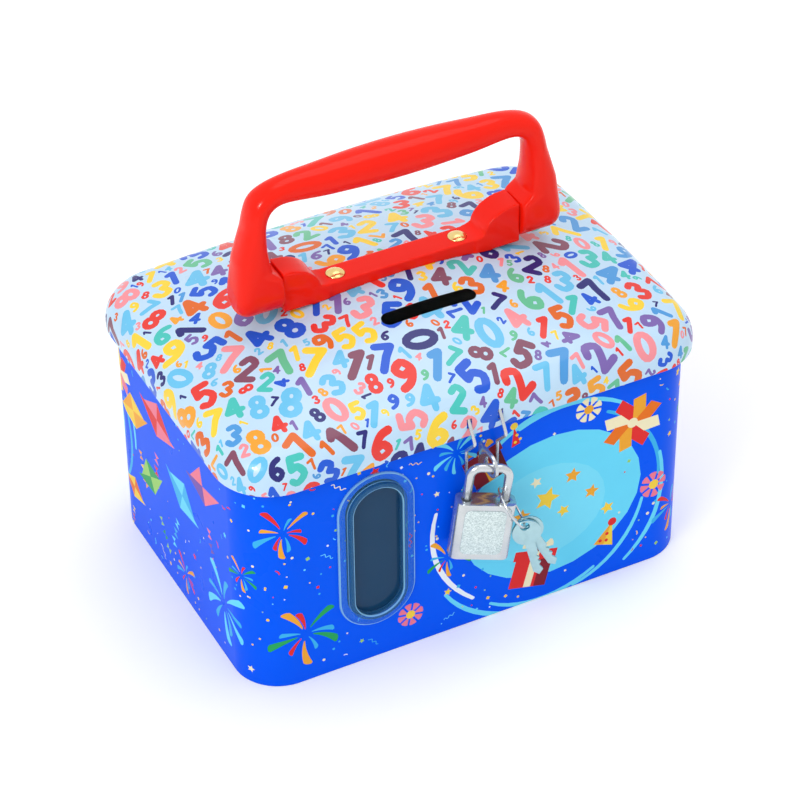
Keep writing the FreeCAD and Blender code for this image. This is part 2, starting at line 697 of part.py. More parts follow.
def make_hasp_clip(lid_inside):
    """The block under the lid that holds the hasp's bar."""
    bar_y = f"(-{LID_HALF_DEPTH} + hasp_bar_inset)"
    bar_z = f"({LID_EDGE} + hasp_bar_height)"
    left = "-hasp_clip_length / 2"
    block = box("hasp_clip_block", ("hasp_clip_length", "hasp_clip_size + hasp_bar_inset", "hasp_clip_size"),
                (left, f"-{LID_HALF_DEPTH}", f"{bar_z} - hasp_wire / 2"))
    wire = cylinder("hasp_clip_hole", "hasp_wire", "hasp_clip_length", (left, bar_y, bar_z), "x")
    return cut("hasp_clip", common("hasp_clip_fit", block, lid_inside), wire)


def make_staple():
    """The tab that stands out through the wall and carries the padlock, with its flange inside the wall."""
    left = "-staple_thickness / 2"
    low = f"{STAPLE_Z} - {STAPLE_RIM}"
    height = f"2 * {STAPLE_RIM}"
    wall_inside = f"({FRONT} + tin)"
    tab = box("staple_tab", ("staple_thickness", f"{wall_inside} - {PADLOCK_Y}", height),
              (left, PADLOCK_Y, low))
    nose = cylinder("staple_nose", STAPLE_RIM, "staple_thickness", (left, PADLOCK_Y, STAPLE_Z), "x")
    flange = box("staple_flange_plate", ("staple_flange", "staple_flange_thickness", height),
                 ("-staple_flange / 2", wall_inside, low))
    hole = cylinder("staple_eye", "staple_hole", "staple_thickness", (left, PADLOCK_Y, STAPLE_Z), "x")
    return cut("staple", fuse("staple_whole", tab, nose, flange), hole)


# Padlock, drawn about the middle of its shackle's crossbar and then hung in place

def make_padlock_shackle():
    """The shackle: a short toe on the left that the bolt holds, a long heel on the right."""
    half = value("shackle_spread / 2")
    toe = V(-half, 0, value("-shackle_clear - toe_length"))
    heel = V(half, 0, value("-shackle_clear - heel_length"))
    wire = shaped("shackle_wire", bent_wire([toe, V(-half, 0, 0), V(half, 0, 0), heel],
                                            value("shackle_radius"), value("shackle_bend")))
    floor = f"({TOE_INSIDE} - bolt_engage - bolt_clearance)"
    mouth = f"({TOE_INSIDE} + shackle_radius)"
    upper = f"({BOLT_MIDDLE} + bolt_height / 2 + bolt_clearance)"
    # The notch's lower side slopes as the bolt draws back while the shackle rises
    low_mouth = f"{BOLT_FLOOR} - ({mouth} - {floor}) * shackle_lift / {BOLT_TRAVEL}"
    notch = outline_pad("toe_notch", "XZ_Plane",
                        ((mouth, upper), (floor, upper), (floor, BOLT_FLOOR), (mouth, low_mouth)),
                        "4 * shackle_radius")
    reach = "(stop_pin_radius + bolt_clearance)"
    groove_x = "shackle_spread / 2 + shackle_radius - stop_bite - bolt_clearance"
    groove = box("heel_groove", ("2 * shackle_radius", "4 * shackle_radius", f"shackle_lift + 2 * {reach}"),
                 (groove_x, "-2 * shackle_radius", f"{STOP_Z} - shackle_lift - {reach}"))
    return hang(cut("padlock_shackle", wire, notch, groove))


def front_plate(name, depth):
    """An upright plate with round corners, the size of the panel on the padlock's front."""
    return rounded_prism(name, "(case_width - 2 * panel_side_margin)", "(case_height - 2 * panel_end_margin)",
                         "panel_round", "0", depth)


def make_padlock_case():
    """The padlock's case with the bores for the shackle and the plug, and the bolt's chamber."""
    block = rounded_prism("case_block", "case_width", "case_depth", "case_round", CASE_BOTTOM, "case_height")
    tools = []
    for leg, sign in (("toe", -1), ("heel", 1)):
        depth = f"({leg}_length + bore_end_gap)"
        tools.append(cylinder(f"{leg}_bore", "shackle_radius + bore_clearance", depth,
                              (f"{sign} * shackle_spread / 2", "0", f"{CASE_TOP} - {depth}")))
    tools.append(cylinder("plug_bore", "plug_radius + plug_clearance", f"{BOLT_FLOOR} - {CASE_BOTTOM}",
                          ("0", "0", CASE_BOTTOM)))
    left = f"({TOE_INSIDE} - bolt_engage - bolt_clearance)"
    tools.append(box("bolt_chamber", (f"bolt_tail + {BOLT_TRAVEL} + bolt_clearance - {left}",
                                      "bolt_width + 2 * bolt_clearance", "bolt_height + 2 * bolt_clearance"),
                     (left, "-bolt_width / 2 - bolt_clearance", BOLT_FLOOR)))
    tools.append(cylinder("stop_pin_hole", "stop_pin_radius", "case_depth",
                          (STOP_X, "-case_depth / 2", STOP_Z), "y"))
    recess = front_plate("case_recess", "panel_recess")
    recess.Placement.Rotation = FreeCAD.Rotation(V(1, 0, 0), 90)
    place(recess, "0", "-case_depth / 2 + panel_recess", f"{CASE_TOP} - case_height / 2")
    return hang(cut("padlock_case", block, *tools, recess))


def make_padlock_panel():
    """The sparkle plate let into the case's front."""
    return hang(front_plate("padlock_panel", "panel_thickness"),
                ("0", "-case_depth / 2 + panel_recess", f"{CASE_TOP} - case_height / 2"), roll="90")


def make_padlock_plug():
    """The plug that the key turns: a keyway below and an off-centre cam on top."""
    drum = cylinder("plug_drum", "plug_radius", f"{BOLT_FLOOR} - {CASE_BOTTOM}", ("0", "0", CASE_BOTTOM))
    cam = cylinder("plug_cam", "cam_radius", "bolt_height + bolt_clearance + plug_radius",
                   (f"-{CAM_SIDE}", f"-{CAM_SIDE}", f"{BOLT_FLOOR} - plug_radius"))
    width = "(key_thickness + 2 * key_fit)"
    height = "(key_blade_width + 2 * key_fit)"
    keyway = box("plug_keyway", (width, height, "key_blade_length + key_fit"),
                 (f"-{width} / 2", f"-{height} / 2", CASE_BOTTOM))
    return hang(cut("padlock_plug", fuse("plug_whole", drum, cam), keyway))


def make_padlock_bolt():
    """The sliding bolt: its nose in the toe's notch, a notch for the cam and a seat for the spring."""
    nose = f"({TOE_INSIDE} - bolt_engage)"
    front = "-bolt_width / 2"
    low = f"({BOLT_MIDDLE} - bolt_height / 2)"
    plate = box("bolt_plate", (f"bolt_tail - {nose}", "bolt_width", "bolt_height"), (nose, front, low))
    spring_room = box("bolt_spring_room", ("spring_seat + bolt_tail", SPRING_ROOM, "bolt_height"),
                      ("-spring_seat", f"bolt_width / 2 - {SPRING_ROOM}", low))
    reach = "(cam_radius + bolt_clearance)"
    cam_room = box("bolt_cam_room", (f"2 * {reach}", f"bolt_width / 2 - {CAM_SIDE} + {reach}", "bolt_height"),
                   (f"-{CAM_SIDE} - {reach}", front, low))
    return hang(cut("padlock_bolt", plate, spring_room, cam_room))


def make_padlock_spring():
    """The bolt's spring, as the tube that its turns fill."""
    length = f"(spring_seat + bolt_tail + {BOLT_TRAVEL} + bolt_clearance)"
    start = ("-spring_seat", f"bolt_width / 2 - {SPRING_ROOM} / 2", BOLT_MIDDLE)
    tube = cylinder("spring_tube", "spring_radius", length, start, "x")
    return hang(cut("padlock_spring", tube, cylinder("spring_hollow", "spring_bore", length, start, "x")))


def make_stop_pin():
    """The pin through the case that keeps the heel from leaving its bore."""
    pin = doc.addObject("Part::Cylinder", "padlock_stop_pin")
    bind(pin, Radius="stop_pin_radius", Height="case_depth")
    return hang(pin, (STOP_X, "-case_depth / 2", STOP_Z), roll="-90")


# Key ring and keys

def make_key_ring():
    """The wire ring round the shackle's heel."""
    ring = doc.addObject("Part::Torus", "key_ring")
    bind(ring, Radius1="ring_radius", Radius2="ring_wire")
    middle = (f"{RING_X} + ring_radius * cos(ring_tilt)", "0", f"{RING_Z} - ring_radius * sin(ring_tilt)")
    return hang(ring, middle, pitch="ring_tilt")


def make_key(name, angle, side):
    """A flat key that hangs by the hole in its round head, on the low end of the ring."""
    front = "-key_thickness / 2"
    hole_z = "(-(key_hole - ring_wire - key_slack))"
    head_z = f"({hole_z} - key_hole_rise)"
    head = cylinder(f"{name}_head", "key_head", "key_thickness", ("0", front, head_z), "y")
    root = f"({head_z} - key_head / 2)"
    tip = f"({head_z} - key_head - key_blade_length)"
    left = "(-key_blade_width / 2)"
    right = "(key_blade_width / 2)"
    outline = [(left, root), (left, f"{tip} - {left}"), ("0", tip), (right, f"{tip} + {right}")]
    for tooth in ("2", "3", "4"):
        outline.append((f"{right} - key_tooth_depth", f"{tip} + {tooth} * key_tooth_pitch"))
        outline.append((right, f"{tip} + ({tooth} + 1 / 2) * key_tooth_pitch"))
    outline.append((right, root))
    blade = outline_pad(f"{name}_blade", "XZ_Plane", outline, "key_thickness")
    hole = cylinder(f"{name}_hole", "key_hole", "key_thickness", ("0", front, hole_z), "y")
    key = cut(name, fuse(f"{name}_whole", head, blade), hole)
    ring_low = (f"{RING_X} + 2 * ring_radius * cos(ring_tilt)", f"{side} * (key_thickness + key_gap) / 2",
                f"{RING_Z} - 2 * ring_radius * sin(ring_tilt)")
    return hang(key, ring_low, pitch=f"-{angle}")


def build():
    """Make every piece and return them in order."""
    outside = lid_form("lid_outside", 0, value(LID_EDGE))
    inside = lid_form("lid_inside", value("tin"), value(f"{LID_EDGE} - tin"))
    pieces = [make_body_wall(), make_body_bottom(), make_lid_shell(outside, inside)]
    for side, sign in (("left", -1), ("right", 1)):
        pieces += make_hinge(side, sign, outside)
        pieces += make_rivet(side, sign, inside)
    pieces += [make_handle_base(outside), make_handle_grip(), make_window(), make_window_clip()]
    pieces += [make_hasp(), make_hasp_clip(inside), make_staple()]
    pieces += [make_padlock_shackle(), make_padlock_case(), make_padlock_panel(), make_padlock_plug(),
               make_padlock_bolt(), make_padlock_spring(), make_stop_pin(), make_key_ring()]
    pieces += [make_key("key_first", "key_first_angle", -1), make_key("key_second", "key_second_angle", 1)]
    return pieces


def check(pieces):
    """Stop if anything failed to recompute or a piece isn't one sound solid."""
    failed = [item.Name for item in doc.Objects if {"Invalid", "Error"} & set(item.State)]
    if failed:
        raise RuntimeError(f"failed to recompute: {failed}")
    for item in pieces:
        if item.Shape.isNull() or not item.Shape.isValid() or len(item.Shape.Solids) != 1:
            raise RuntimeError(f"{item.Label} is not one valid solid: {len(item.Shape.Solids)}")


pieces = build()
doc.recompute()
check(pieces)
os.makedirs("parts", exist_ok=True)
for item in pieces:
    item.Shape.exportStep(f"parts/{item.Label}.step")
    print(item.Label, round(item.Shape.Volume, 2))
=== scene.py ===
import math
import random

import bmesh
import bpy
import numpy as np
from mathutils import Matrix, Vector, geometry


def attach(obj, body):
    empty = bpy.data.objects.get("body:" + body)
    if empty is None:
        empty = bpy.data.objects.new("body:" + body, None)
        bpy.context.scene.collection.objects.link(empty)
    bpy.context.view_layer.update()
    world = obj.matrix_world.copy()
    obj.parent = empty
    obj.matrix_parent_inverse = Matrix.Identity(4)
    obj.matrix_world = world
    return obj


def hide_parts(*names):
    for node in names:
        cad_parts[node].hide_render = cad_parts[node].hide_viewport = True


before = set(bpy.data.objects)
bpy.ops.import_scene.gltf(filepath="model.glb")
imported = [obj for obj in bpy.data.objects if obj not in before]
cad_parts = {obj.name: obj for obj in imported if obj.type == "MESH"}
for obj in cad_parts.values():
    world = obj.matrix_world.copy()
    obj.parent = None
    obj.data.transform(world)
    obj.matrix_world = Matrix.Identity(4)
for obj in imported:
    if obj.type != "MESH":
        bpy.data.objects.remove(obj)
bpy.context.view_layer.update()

# The studio: a white table that runs out of sight, an even white surround, two soft lamps and
# one for glints only. The camera looks down past the body's left front corner.
scene = bpy.context.scene
scene.view_settings.view_transform = "Standard"
MM = 0.001
IMAGE_SIZE = 800
SENSOR = 36
FOCAL_PIXELS = 3031.6
CAMERA_DISTANCE = 965.3
CAMERA_TARGET = Vector((0, 0, 50))
CAMERA_SHIFT = (1.73, 1.34)
CAMERA_ANGLES = (-26.80, 37.67, -0.70)

azimuth, elevation, roll = (math.radians(angle) for angle in CAMERA_ANGLES)
back = Vector((math.sin(azimuth) * math.cos(elevation), -math.cos(azimuth) * math.cos(elevation),
               math.sin(elevation)))
level = Vector((math.cos(azimuth), math.sin(azimuth), 0))
upward = back.cross(level)
right = level * math.cos(roll) + upward * math.sin(roll)
above = upward * math.cos(roll) - level * math.sin(roll)
camera_data = bpy.data.cameras.new("camera")
camera_data.sensor_width = SENSOR
camera_data.lens = FOCAL_PIXELS / IMAGE_SIZE * SENSOR
camera_data.shift_x, camera_data.shift_y = (pixels / IMAGE_SIZE for pixels in CAMERA_SHIFT)
camera = bpy.data.objects.new("camera", camera_data)
camera.matrix_world = (Matrix.Translation((CAMERA_TARGET + back * CAMERA_DISTANCE) * MM)
                       @ Matrix((right, above, back)).transposed().to_4x4())
scene.collection.objects.link(camera)
scene.camera = camera


class Socket:
    """A value in a shader: arithmetic on it adds Math nodes to its tree."""

    def __init__(self, tree, source):
        self.tree = tree
        self.source = source

    def math(self, operation, *values):
        node = self.tree.nodes.new("ShaderNodeMath")
        node.operation = operation
        for entry, item in zip(node.inputs, values):
            connect(self.tree, item, entry)
        return Socket(self.tree, node.outputs[0])

    def __add__(self, other):
        return self.math("ADD", self, other)

    def __mul__(self, other):
        return self.math("MULTIPLY", self, other)

    def __gt__(self, other):
        return self.math("GREATER_THAN", self, other)

    __radd__ = __add__
    __rmul__ = __mul__


def connect(tree, item, entry):
    """Link a value to a node's entry, or set the entry's own number or colour."""
    if isinstance(item, Socket):
        tree.links.new(item.source, entry)
    else:
        entry.default_value = item


class Shading:
    """The node tree of a material or of the surround, with one way to add a node to it."""

    def __init__(self, tree):
        self.tree = tree

    def node(self, kind, output, settings=(), numbered=(), **named):
        """Add a node, set it up, and give back one of its outputs."""
        node = self.tree.nodes.new(kind)
        for setting, choice in dict(settings).items():
            setattr(node, setting, choice)
        for entry, item in (*dict(numbered).items(), *named.items()):
            connect(self.tree, item, node.inputs[entry.replace("_", " ") if entry in named else entry])
        return Socket(self.tree, node.outputs[output])

    def seen_by_eye(self):
        """1 for what the eye meets, straight, in a mirror or through glass, and 0 for other light."""
        straight, mirrored, through = (self.node("ShaderNodeLightPath", f"Is {ray} Ray")
                                       for ray in ("Camera", "Glossy", "Transmission"))
        return (straight + mirrored + through) > 0.5


class Finish(Shading):
    """A material with one Principled shader, whose fixed numbers are set on the shader itself."""

    def __init__(self, name, **fixed):
        self.material = bpy.data.materials.new(name)
        self.material.use_nodes = True
        super().__init__(self.material.node_tree)
        self.shader = self.tree.nodes["Principled BSDF"]
        for entry, amount in fixed.items():
            self.shader.inputs[entry.replace("_", " ")].default_value = amount

    def place(self):
        return self.node("ShaderNodeTexCoord", "Object")

    def noise(self, size, detail=2.0):
        """A soft random value from 0 to 1 whose patches are about the size, in millimetres."""
        return self.node("ShaderNodeTexNoise", "Fac", Vector=self.place(), Scale=1 / (size * MM),
                         Detail=detail)

    def mix(self, share, first, second, blend="MIX"):
        """Mix two colours."""
        return self.node("ShaderNodeMix", 2, {"data_type": "RGBA", "blend_type": blend},
                         {0: share, 6: first, 7: second})

    def bump(self, height, distance, strength=1.0):
        """Raise the surface by a height from 0 to 1 times a distance in millimetres."""
        self.feed("Normal", self.node("ShaderNodeBump", "Normal", Height=height, Distance=distance * MM,
                                      Strength=strength))

    def feed(self, entry, item):
        connect(self.tree, item, self.shader.inputs[entry])


def shaded(tone, factor):
    """A colour made darker by a factor."""
    return (*(part * factor for part in tone[:3]), 1)


def new_piece(name, mesh, *materials):
    """Put a mesh whose place is in its points into the scene."""
    piece = bpy.data.objects.new(name, mesh)
    for material in materials:
        mesh.materials.append(material)
    scene.collection.objects.link(piece)
    return piece


TABLE_HALF = 6
TABLE_DROP = 0.0002
TABLE_WHITE = (1.0, 1.0, 1.0, 1)
WORN_WHITE = shaded(TABLE_WHITE, 0.995)
NEAR_GLOW = shaded(TABLE_WHITE, 0.12)
FAR_GLOW = shaded(TABLE_WHITE, 0.34)
FAR_AWAY = 1.6
SQUARE = ((-1, -1), (1, -1), (1, 1), (-1, 1))
white = Finish("white_table", Roughness=0.9, Emission_Strength=1.0)
white.feed("Base Color", white.mix(white.noise(40), TABLE_WHITE, WORN_WHITE))
distance = white.node("ShaderNodeVectorMath", "Value", {"operation": "LENGTH"}, {0: white.place()})
glow = white.mix(distance * (1 / FAR_AWAY), NEAR_GLOW, FAR_GLOW)
white.feed("Emission Color", white.mix(white.seen_by_eye(), shaded(TABLE_WHITE, 0), glow))
table_mesh = bpy.data.meshes.new("table")
table_mesh.from_pydata([(x * TABLE_HALF, y * TABLE_HALF, 0) for x, y in SQUARE], [], [(0, 1, 2, 3)])
table = new_piece("table", table_mesh, white.material)
table.location.z = -TABLE_DROP

SURROUND_LIGHT = 0.7
world = bpy.data.worlds.new("surround")
world.use_nodes = True
scene.world = world
world_background = world.node_tree.nodes["Background"]
world_background.inputs["Color"].default_value = (1, 1, 1, 1)
connect(world.node_tree, SURROUND_LIGHT + Shading(world.node_tree).seen_by_eye() * (1 - SURROUND_LIGHT),
        world_background.inputs["Strength"])

LAMPS = (("left_lamp", (-0.75, -0.45, 0.75), 0.5, 3.2), ("glint_lamp", (-0.7, -0.42, 0.7), 0.17, 3.4),
         ("top_lamp", (0.25, 0.1, 1.2), 0.9, 3.8))
for name, at, size, power in LAMPS:
    lamp_data = bpy.data.lights.new(name, "AREA")
    lamp_data.shape = "DISK"
    lamp_data.size = size
    lamp_data.energy = power
    lamp = bpy.data.objects.new(name, lamp_data)
    lamp.visible_diffuse = name != "glint_lamp"
    lamp.location = at
    lamp.rotation_euler = (Vector(at) - CAMERA_TARGET * MM).to_track_quat("Z", "Y").to_euler()
    scene.collection.objects.link(lamp)

# The body's wall: one strip of tinplate, printed flat and varnished, then bent round a former and
# locked together at the back. The window's hole and the staple's slot are punched in its front.
BODY_HALF = np.array((77.5, 54.2))
BODY_CORNER = 15.0
WALL_TOP = 82.2
TIN = 0.3
BODY_CORE = BODY_HALF - BODY_CORNER
CORNER_RUN = BODY_CORNER * math.pi / 2
WALL_RUNS = (BODY_CORE[0], CORNER_RUN, 2 * BODY_CORE[1], CORNER_RUN, 2 * BODY_CORE[0], CORNER_RUN,
             2 * BODY_CORE[1], CORNER_RUN, BODY_CORE[0])
WALL_ROUND = sum(WALL_RUNS)


def wrap_wall(sheet):
    """Where points of the flat strip come on the wall: along it from the front's middle, and up."""
    along = np.clip(sheet[:, 0] + WALL_ROUND / 2, 0, WALL_ROUND)
    place = np.zeros((len(sheet), 3))
    at = np.array((0.0, BODY_HALF[1]))
    heading = math.pi
    start = 0.0
    for number, run in enumerate(WALL_RUNS):
        here = along >= start
        way = along[here] - start
        ahead = np.array((math.cos(heading), math.sin(heading)))
        if number % 2:
            aside = np.array((-ahead[1], ahead[0]))
            middle = at + aside * BODY_CORNER
            turn = way / BODY_CORNER
            place[here, :2] = (middle + np.outer(np.sin(turn), ahead) * BODY_CORNER
                               - np.outer(np.cos(turn), aside) * BODY_CORNER)
            at = middle + ahead * BODY_CORNER
            heading += math.pi / 2
        else:
            place[here, :2] = at + np.outer(way, ahead)
            at = at + ahead * run
        start += run
    place[:, 2] = sheet[:, 1]
    return place


def facing(wrap, sheet):
    """The outward direction of a wrapped sheet at each of its points."""
    step = 0.02
    across = wrap(sheet + (step, 0)) - wrap(sheet - (step, 0))
    upward = wrap(sheet + (0, step)) - wrap(sheet - (0, step))
    out = np.cross(across, upward)
    return out / np.maximum(np.linalg.norm(out, axis=1), 1e-12)[:, None]


def ring_of(count, radius_x, radius_y=None):
    """Points round an oval."""
    radius_y = radius_x if radius_y is None else radius_y
    turns = (math.tau * number / count for number in range(count))
    return [(radius_x * math.cos(turn), radius_y * math.sin(turn)) for turn in turns]


def ribbon(points, half_width, closed=False, tapered=False):
    """Four-sided faces along a bent line, with a round end on each loose end, as (points, faces)."""
    line = np.array(points, float)
    before = np.roll(line, 1, axis=0) if closed else np.vstack((line[:1], line[:-1]))
    after = np.roll(line, -1, axis=0) if closed else np.vstack((line[1:], line[-1:]))
    ahead = after - before
    ahead /= np.linalg.norm(ahead, axis=1)[:, None]
    aside = np.c_[-ahead[:, 1], ahead[:, 0]]
    count = len(line)
    width = np.full(count, half_width)
    if tapered:
        width = half_width * (0.15 + 0.85 * np.sin(np.linspace(0.25, 1, count) * math.pi * 0.75))
    corners = np.vstack((line + aside * width[:, None], line - aside * width[:, None])).tolist()
    faces = []
    for number in range(count if closed else count - 1):
        following = (number + 1) % count
        faces.append((number, number + count, following + count, following))
    if not closed:
        for end, sign in ((0, -1), (count - 1, 1)):
            cap = [end + count if sign > 0 else end]
            for step in (1, 2, 3):
                turn = math.pi * (step / 4 - 0.5)
                corners.append((line[end] + width[end] * sign * (ahead[end] * math.cos(turn)
                                                                 + aside[end] * math.sin(turn))).tolist())
                cap.append(len(corners) - 1)
            cap.append(end if sign > 0 else end + count)
            faces.append(cap)
    return corners, faces


def flat(points):
    """One face on an outline, as (points, faces)."""
    return points, [tuple(range(len(points)))]


def star_outline(points, inner):
    outline = []
    for number in range(2 * points):
        radius = inner if number % 2 else 1.0
        turn = math.pi / 2 + math.pi * number / points
        outline.append((radius * math.cos(turn), radius * math.sin(turn)))
    return outline


def plume(bend):
    """A long drop that starts thin, bends aside and ends broad and round."""
    spine = [(reach, bend * (reach - 0.22) ** 2) for reach in np.linspace(0.22, 0.94, 7)]
    half = [0.012 + 0.09 * number / 6 for number in range(7)]
    tip = [(0.99, bend * 0.6 - 0.06), (1.0, bend * 0.61), (0.99, bend * 0.6 + 0.06)]
    return ([(x, y - wide) for (x, y), wide in zip(spine, half)] + tip
            + [(x, y + wide) for (x, y), wide in reversed(list(zip(spine, half)))])


BODY_MOTIFS = {
    "disc": flat(ring_of(24, 1)),
    "dot": flat(ring_of(8, 1)),
    "square": flat(SQUARE),
    "wedge": flat([(0, 0), (1, 0), (0, 1)]),
    "star": flat(star_outline(5, 0.48)),
    "plume_up": flat(plume(0.3)),
    "plume_down": flat(plume(-0.3)),
    "petal": flat([(0.25, 0), (0.55, -0.06), (0.92, -0.13), (1.0, -0.06), (1.0, 0.06), (0.92, 0.13),
                   (0.55, 0.06)]),
    "strip": ribbon([(-1, 0.15), (-0.5, -0.1), (0, -0.15), (0.5, -0.1), (1, 0.15)], 0.28),
    "wave": ribbon([(step / 4 - 2, 0.35 * math.sin(step * 0.9)) for step in range(17)], 0.12),
    "arc": ribbon([(math.cos(turn), math.sin(turn)) for turn in np.linspace(0, 1.1, 12)], 0.022,
                  tapered=True),
    "vane": flat([(0, 0), (0.55, -0.16), (1.0, 0.12), (0.72, 0.42)]),
}


def motif_objects(name, motifs):
    """A hidden collection with one flat mesh for each motif, in the order of their names."""
    collection = bpy.data.collections.new(name)
    for number, (points, faces) in enumerate(motifs.values()):
        mesh = bpy.data.meshes.new(f"{name}_{number:02d}")
        mesh.from_pydata([(x, y, 0) for x, y in points], [], faces)
        collection.objects.link(bpy.data.objects.new(mesh.name, mesh))
    return collection


def print_tree():
    """A tree that stands one motif on each point of a layout, turned and sized by the point's values."""
    tree = bpy.data.node_groups.new("print_layout", "GeometryNodeTree")
    for name, way, kind in (("Layout", "INPUT", "Geometry"), ("Motifs", "INPUT", "Collection"),
                            ("Scale", "INPUT", "Float"), ("Ink", "INPUT", "Material"),
                            ("Print", "OUTPUT", "Geometry")):
        tree.interface.new_socket(name, in_out=way, socket_type=f"NodeSocket{kind}")

    def node(kind, operation=None, **entries):
        made = tree.nodes.new(kind)
        if operation:
            made.operation = operation
        for entry, item in entries.items():
            if isinstance(item, bpy.types.NodeSocket):
                tree.links.new(item, made.inputs[entry.replace("_", " ")])
            else:
                made.inputs[entry.replace("_", " ")].default_value = item
        return made

    def named(name, data_type):
        made = node("GeometryNodeInputNamedAttribute", Name=name)
        made.data_type = data_type
        return made.outputs["Attribute"]

    given = tree.nodes.new("NodeGroupInput").outputs
    library = node("GeometryNodeCollectionInfo", Collection=given["Motifs"], Separate_Children=True)
    turn = node("ShaderNodeCombineXYZ", Z=named("turn", "FLOAT"))
    sized = node("ShaderNodeVectorMath", "SCALE", Vector=named("size", "FLOAT_VECTOR"), Scale=given["Scale"])
    stand = node("GeometryNodeInstanceOnPoints", Points=given["Layout"],
                 Instance=library.outputs["Instances"], Pick_Instance=True,
                 Instance_Index=named("motif", "INT"), Rotation=turn.outputs[0], Scale=sized.outputs[0])
    real = node("GeometryNodeRealizeInstances", Geometry=stand.outputs["Instances"])
    inked = node("GeometryNodeSetMaterial", Geometry=real.outputs[0], Material=given["Ink"])
    tree.links.new(inked.outputs[0], tree.nodes.new("NodeGroupOutput").inputs[0])
    return tree


PRINT_TREE = print_tree()


def points_of(mesh):
    """A mesh's points as an array."""
    points = np.zeros(3 * len(mesh.vertices))
    mesh.vertices.foreach_get("co", points)
    return points.reshape(-1, 3)


def lay_out(name, marks, motifs, ink):
    """Stand the motifs of a layout on their flat sheet, and give their faces as (outline, ink, order)."""
    kinds, across, up, turns, widths, heights, inks = zip(*marks)
    mesh = bpy.data.meshes.new(f"{name}_points")
    mesh.from_pydata([(x, y, 0) for x, y in zip(across, up)], [], [])
    for label, kind, values in (("motif", "INT", [list(motifs).index(motif) for motif in kinds]),
                                ("turn", "FLOAT", turns), ("order", "INT", list(range(len(marks))))):
        mesh.attributes.new(label, kind, "POINT").data.foreach_set("value", values)
    mesh.attributes.new("size", "FLOAT_VECTOR", "POINT").data.foreach_set(
        "vector", [part for size in zip(widths, heights) for part in (*size, 1)])
    layout = bpy.data.objects.new(f"{name}_layout", mesh)
    scene.collection.objects.link(layout)
    modifier = layout.modifiers.new("print", "NODES")
    modifier.node_group = PRINT_TREE
    entries = {item.name: item.identifier for item in PRINT_TREE.interface.items_tree
               if item.in_out == "INPUT"}
    modifier[entries["Motifs"]] = motif_objects(f"{name}_motifs", motifs)
    modifier[entries["Scale"]] = 1.0
    modifier[entries["Ink"]] = ink
    printed = bpy.data.meshes.new_from_object(layout.evaluated_get(bpy.context.evaluated_depsgraph_get()))
    layout.modifiers.clear()
    bpy.data.objects.remove(layout)
    points = points_of(printed)[:, :2]
    order = np.zeros(len(printed.vertices), np.int32)
    printed.attributes["order"].data.foreach_get("value", order)
    return [(points[list(face.vertices)], inks[order[face.vertices[0]]], order[face.vertices[0]])
            for face in printed.polygons]


def area_of(outline):
    """The area inside an outline, less than nothing if it runs clockwise."""
    x, y = outline[:, 0], outline[:, 1]
    return (np.dot(x, np.roll(y, -1)) - np.dot(y, np.roll(x, -1))) / 2


SMALLEST_PRINT = 0.002
SLIVER = 1e-4
WELD = 1e-5
SHEET_ORDER = -1
HOLE_ORDER = -2


def simple_parts(outline):
    """An outline that runs anticlockwise, or the two triangles of a four-sided one that crosses itself."""
    parts = [outline]
    if len(outline) == 4:
        sides = np.roll(outline, -1, axis=0) - outline
        bends = np.cross(sides, np.roll(sides, -1, axis=0))
        if bends.min() < 0 < bends.max():
            parts = [outline[[0, 1, 2]], outline[[0, 2, 3]]]
    areas = [area_of(part) for part in parts]
    return [part if area > 0 else part[::-1] for part, area in zip(parts, areas)
            if abs(area) > SMALLEST_PRINT]


def triangle_areas(corners):
    """The area of each triangle, from its three corners."""
    sides = corners[:, 1:] - corners[:, :1]
    return np.abs(np.cross(sides[:, 0], sides[:, 1])) / 2


def within(points, outline):
    """Which points lie inside an outline."""
    inside = np.zeros(len(points), bool)
    x, y = points[:, 0], points[:, 1]
    for (x0, y0), (x1, y1) in zip(outline, np.roll(outline, -1, axis=0)):
        if y0 != y1:
            crossing = (y0 > y) != (y1 > y)
            inside ^= crossing & (x < (x1 - x0) * (y - y0) / (y1 - y0) + x0)
    return inside


def cut_sheet(edge, holes, prints, grid):
    """Cut a flat sheet along its holes and prints; give its points, faces and each face's print order.

    An outline that comes out of the cut too large has leaked, so its faces are tested one by one.
    """
    points = [Vector(point) for point in grid]
    faces = []
    outlines = []
    orders = []
    for outline, order in [(edge, SHEET_ORDER)] + [(hole, HOLE_ORDER) for hole in holes] + prints:
        for part in simple_parts(np.array(outline, float)):
            faces.append(list(range(len(points), len(points) + len(part))))
            points += [Vector(point) for point in part]
            outlines.append(part)
            orders.append(order)
    flat_points, _, flat_faces, _, _, sources = geometry.delaunay_2d_cdt(points, [], faces, 1, WELD, True)
    corners = np.array([[flat_points[corner][:] for corner in face] for face in flat_faces])
    covered = np.zeros(len(outlines))
    for area, source in zip(triangle_areas(corners), sources):
        covered[source] += area
    leaking = {number for number, outline in enumerate(outlines)
               if covered[number] > 1.01 * area_of(outline) + 1e-3}
    kept, kept_orders = [], []
    for face, middle, source in zip(flat_faces, corners.mean(axis=1), sources):
        found = [orders[number] for number in source
                 if number not in leaking or within(middle[None], outlines[number])[0]]
        if SHEET_ORDER in found and HOLE_ORDER not in found:
            kept.append(face)
            kept_orders.append(max(found))
    used = sorted({corner for face in kept for corner in face})
    renumber = {old: new for new, old in enumerate(used)}
    return (np.array([flat_points[old][:] for old in used]),
            [tuple(renumber[corner] for corner in face) for face in kept], kept_orders)


def edge_lines(faces):
    """The edges that belong to one face only, in that face's direction."""
    lines = {}
    for face in faces:
        for first, second in zip(face, face[1:] + face[:1]):
            if (second, first) in lines:
                del lines[second, first]
            else:
                lines[first, second] = True
    return list(lines)


